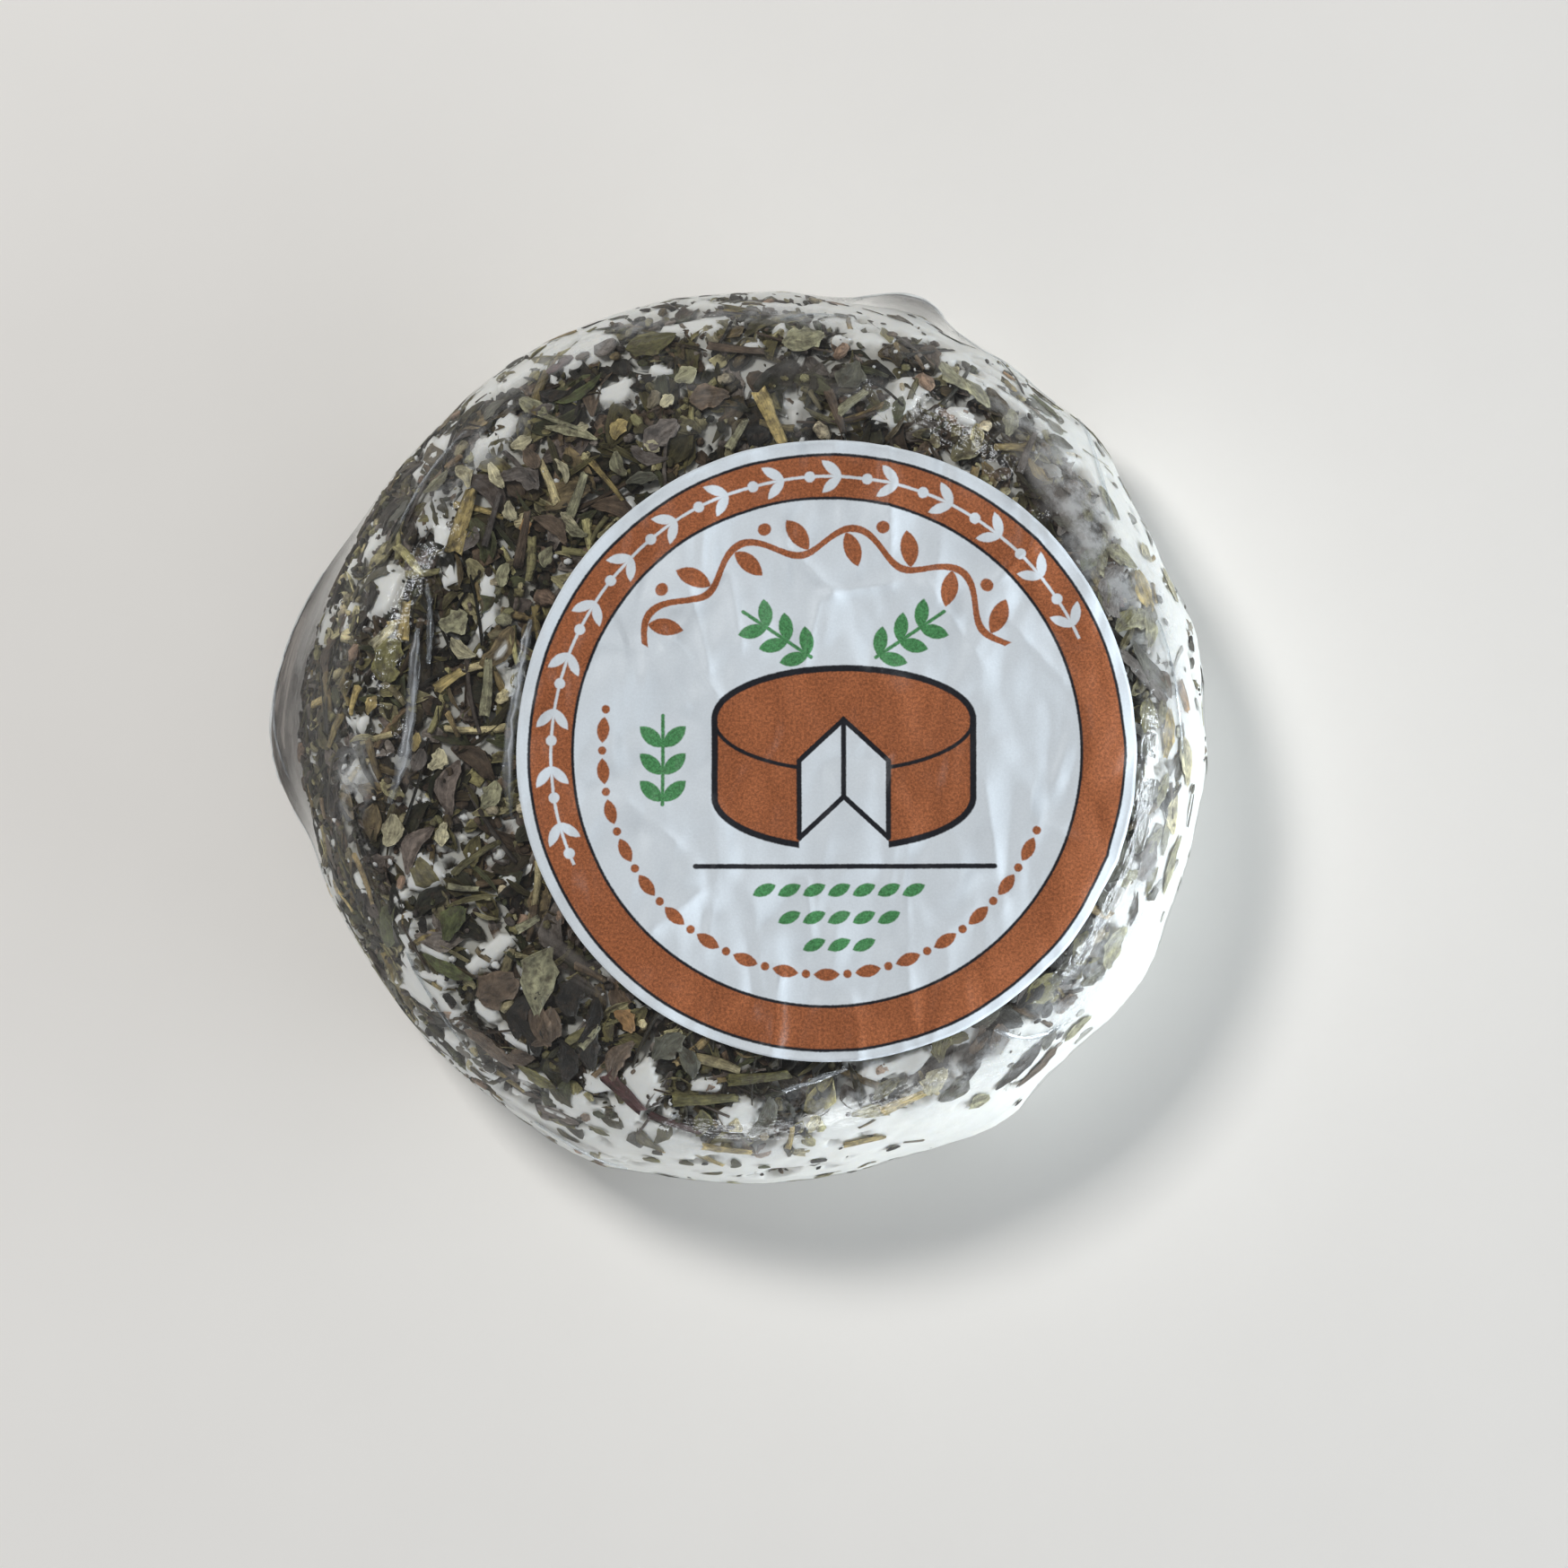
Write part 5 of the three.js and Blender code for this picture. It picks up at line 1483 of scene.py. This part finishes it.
# The ring's garland is left white: leaves in pairs on a stem, with a dot between.
local, past = round_the_arc(off_centre, (ring_in + ring_out) / 2, 30, 2, 17)
garland = either(
    leaf_shape(local, -0.45, 0.62, math.radians(40), 2.1, 0.8),
    leaf_shape(local, -0.45, -0.62, math.radians(-40), 2.1, 0.8),
    stroke(local, (-3, 0), (3, 0), 0.24),
    disc(local, 1.35, 0, 0.44),
)
print_now = inked(print_now, both(garland, past), white)
for line_radius in (ring_in, ring_out):
    print_now = inked(print_now, off_line(radius_now, line_radius, line_wide / 2), black)

# A rust vine under the ring's upper part, and a rust row of lenses and dots over its lower part.
vine_radius, vine_repeats = 16.9, 12
local, past = round_the_arc(ink_place, vine_radius, vine_repeats, 1, 5)
parts = parts_of(local)
vine_step = 2 * math.pi * vine_radius / vine_repeats
wave = sums("MULTIPLY", sums("SINE", sums("MULTIPLY", parts["X"], 2 * math.pi / vine_step)), 1.1)
vine = either(
    off_line(parts["Y"], wave, 0.3),
    leaf_shape(local, vine_step / 4, -0.6, math.radians(62), 3.0, 1.4),
    leaf_shape(local, -vine_step / 4, 0.6, math.radians(62), 3.0, 1.4),
    disc(local, 0.2, 1.6, 0.5),
)
print_now = inked(print_now, both(vine, past), rust)
lens_radius, lens_repeats = 18.1, 34
local, past = round_the_arc(ink_place, lens_radius, lens_repeats, 15.9, 32.1)
lenses = either(leaf_shape(local, 0, 0, 0, 2.1, 1.0), *(disc(local, x, 0, 0.34) for x in (1.67, -1.67)))
print_now = inked(print_now, both(lenses, past), rust)

# The middle: a round of cheese with a wedge cut out of it, drawn in rust and black, over a thin line.
wheel_x, wheel_top, wheel_deep, half_x, half_y = 1.4, 2.4, 6.2, 10.4, 4.1
flat_parts = parts_of(ink_place)
fold_x = sums("ABSOLUTE", sums("SUBTRACT", flat_parts["X"], wheel_x))
top = ellipse(ink_place, wheel_x, wheel_top, half_x, half_y)
side_high = off_line(flat_parts["Y"], wheel_top - wheel_deep / 2, wheel_deep / 2)
side = both(sums("SUBTRACT", fold_x, half_x), side_high)
wheel = either(top, side, ellipse(ink_place, wheel_x, wheel_top - wheel_deep, half_x, half_y))
print_now = inked(print_now, wheel, rust)
for outline, half_wide in ((wheel, 0.26), (top, 0.16)):
    print_now = inked(print_now, sums("SUBTRACT", sums("ABSOLUTE", outline), half_wide), black)
cut_half, cut_slope, cut_foot = 3.6, 0.92, -10.2
in_cut = sums("SUBTRACT", fold_x, cut_half)
cut_edge = sums("SUBTRACT", sums("ADD", flat_parts["Y"], sums("MULTIPLY", fold_x, cut_slope)), wheel_top)
cut = both(in_cut, cut_edge, sums("SUBTRACT", cut_foot, flat_parts["Y"]))
print_now = inked(print_now, cut, white)
for step_down in (0, wheel_deep):
    edge_line = sums("SUBTRACT", sums("ABSOLUTE", sums("ADD", cut_edge, step_down)), 0.28)
    print_now = inked(print_now, both(in_cut, edge_line), black)
outer_y = wheel_top - cut_half * cut_slope
for x, y in ((wheel_x, wheel_top), (wheel_x - cut_half, outer_y), (wheel_x + cut_half, outer_y)):
    print_now = inked(print_now, stroke(ink_place, (x, y), (x, y - wheel_deep), 0.42), black)
rule_y = -9.4
print_now = inked(print_now, stroke(ink_place, (-10.5, rule_y), (13.5, rule_y), 0.4), black)

# Green sprigs over it and beside it, and three short rows of leaves under it.
leaves = either(
    sprig(ink_place, -1.2, 7.4, 146, 6.0, 2.4, 1.15),
    sprig(ink_place, 4.0, 7.4, 34, 6.0, 2.4, 1.15),
    sprig(ink_place, -13.2, -4.4, 90, 6.6, 2.5, 1.2),
)
row_step = 2.0
from_left = sums("MODULO", sums("ADD", flat_parts["X"], 20 * row_step), row_step)
along_row = sums("SUBTRACT", from_left, row_step / 2)
for down, half_long in ((-11.3, 7), (-13.5, 5), (-15.7, 3)):
    across_row = sums("SUBTRACT", flat_parts["Y"], down)
    local = node(tree, "ShaderNodeCombineXYZ", {"X": along_row, "Y": across_row})
    leaf = leaf_shape(local, 0, 0, math.radians(24), 2.0, 0.95)
    leaves = either(leaves, both(leaf, off_line(flat_parts["X"], 1, half_long)))
print_now = inked(print_now, leaves, green)

# The print is made of fine dots, so the inks are speckled and the bare paper isn't.
speckle = spread(tree, noisy(tree, flat_mm, 4.5, 3, 0.9), 0.4, 0.62, 0.55, 1.55)
channels = node(tree, "ShaderNodeSeparateColor", {0: print_now}).outputs
inky = spread(tree, channels["Blue"], 0.2, 0.6, 0.8, 0.06)
printed = mixed(tree, inky, print_now, scaled(tree, print_now, speckle))
paper_grain = noisy(tree, flat_mm, 2.4, 6, 0.6)
cockle = noisy(tree, vectors("MULTIPLY", flat_mm, (0.26, 0.12, 1)), 1, 1, 0.5, 0.5)
wavy = node(tree, "ShaderNodeBump", {"Height": cockle, "Strength": 0.8, "Distance": 1.6 * mm})
bump = node(tree, "ShaderNodeBump", {
    "Height": paper_grain, "Normal": wavy, "Strength": 0.25, "Distance": 0.1 * mm,
})
surface = node(tree, "ShaderNodeBsdfPrincipled", {"Base Color": printed, "Roughness": 0.38, "Normal": bump})
node(tree, "ShaderNodeOutputMaterial", {"Surface": surface})
label = object_of(label_mesh, "paper_label")
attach(label, "root")
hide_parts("label")

low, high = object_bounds()
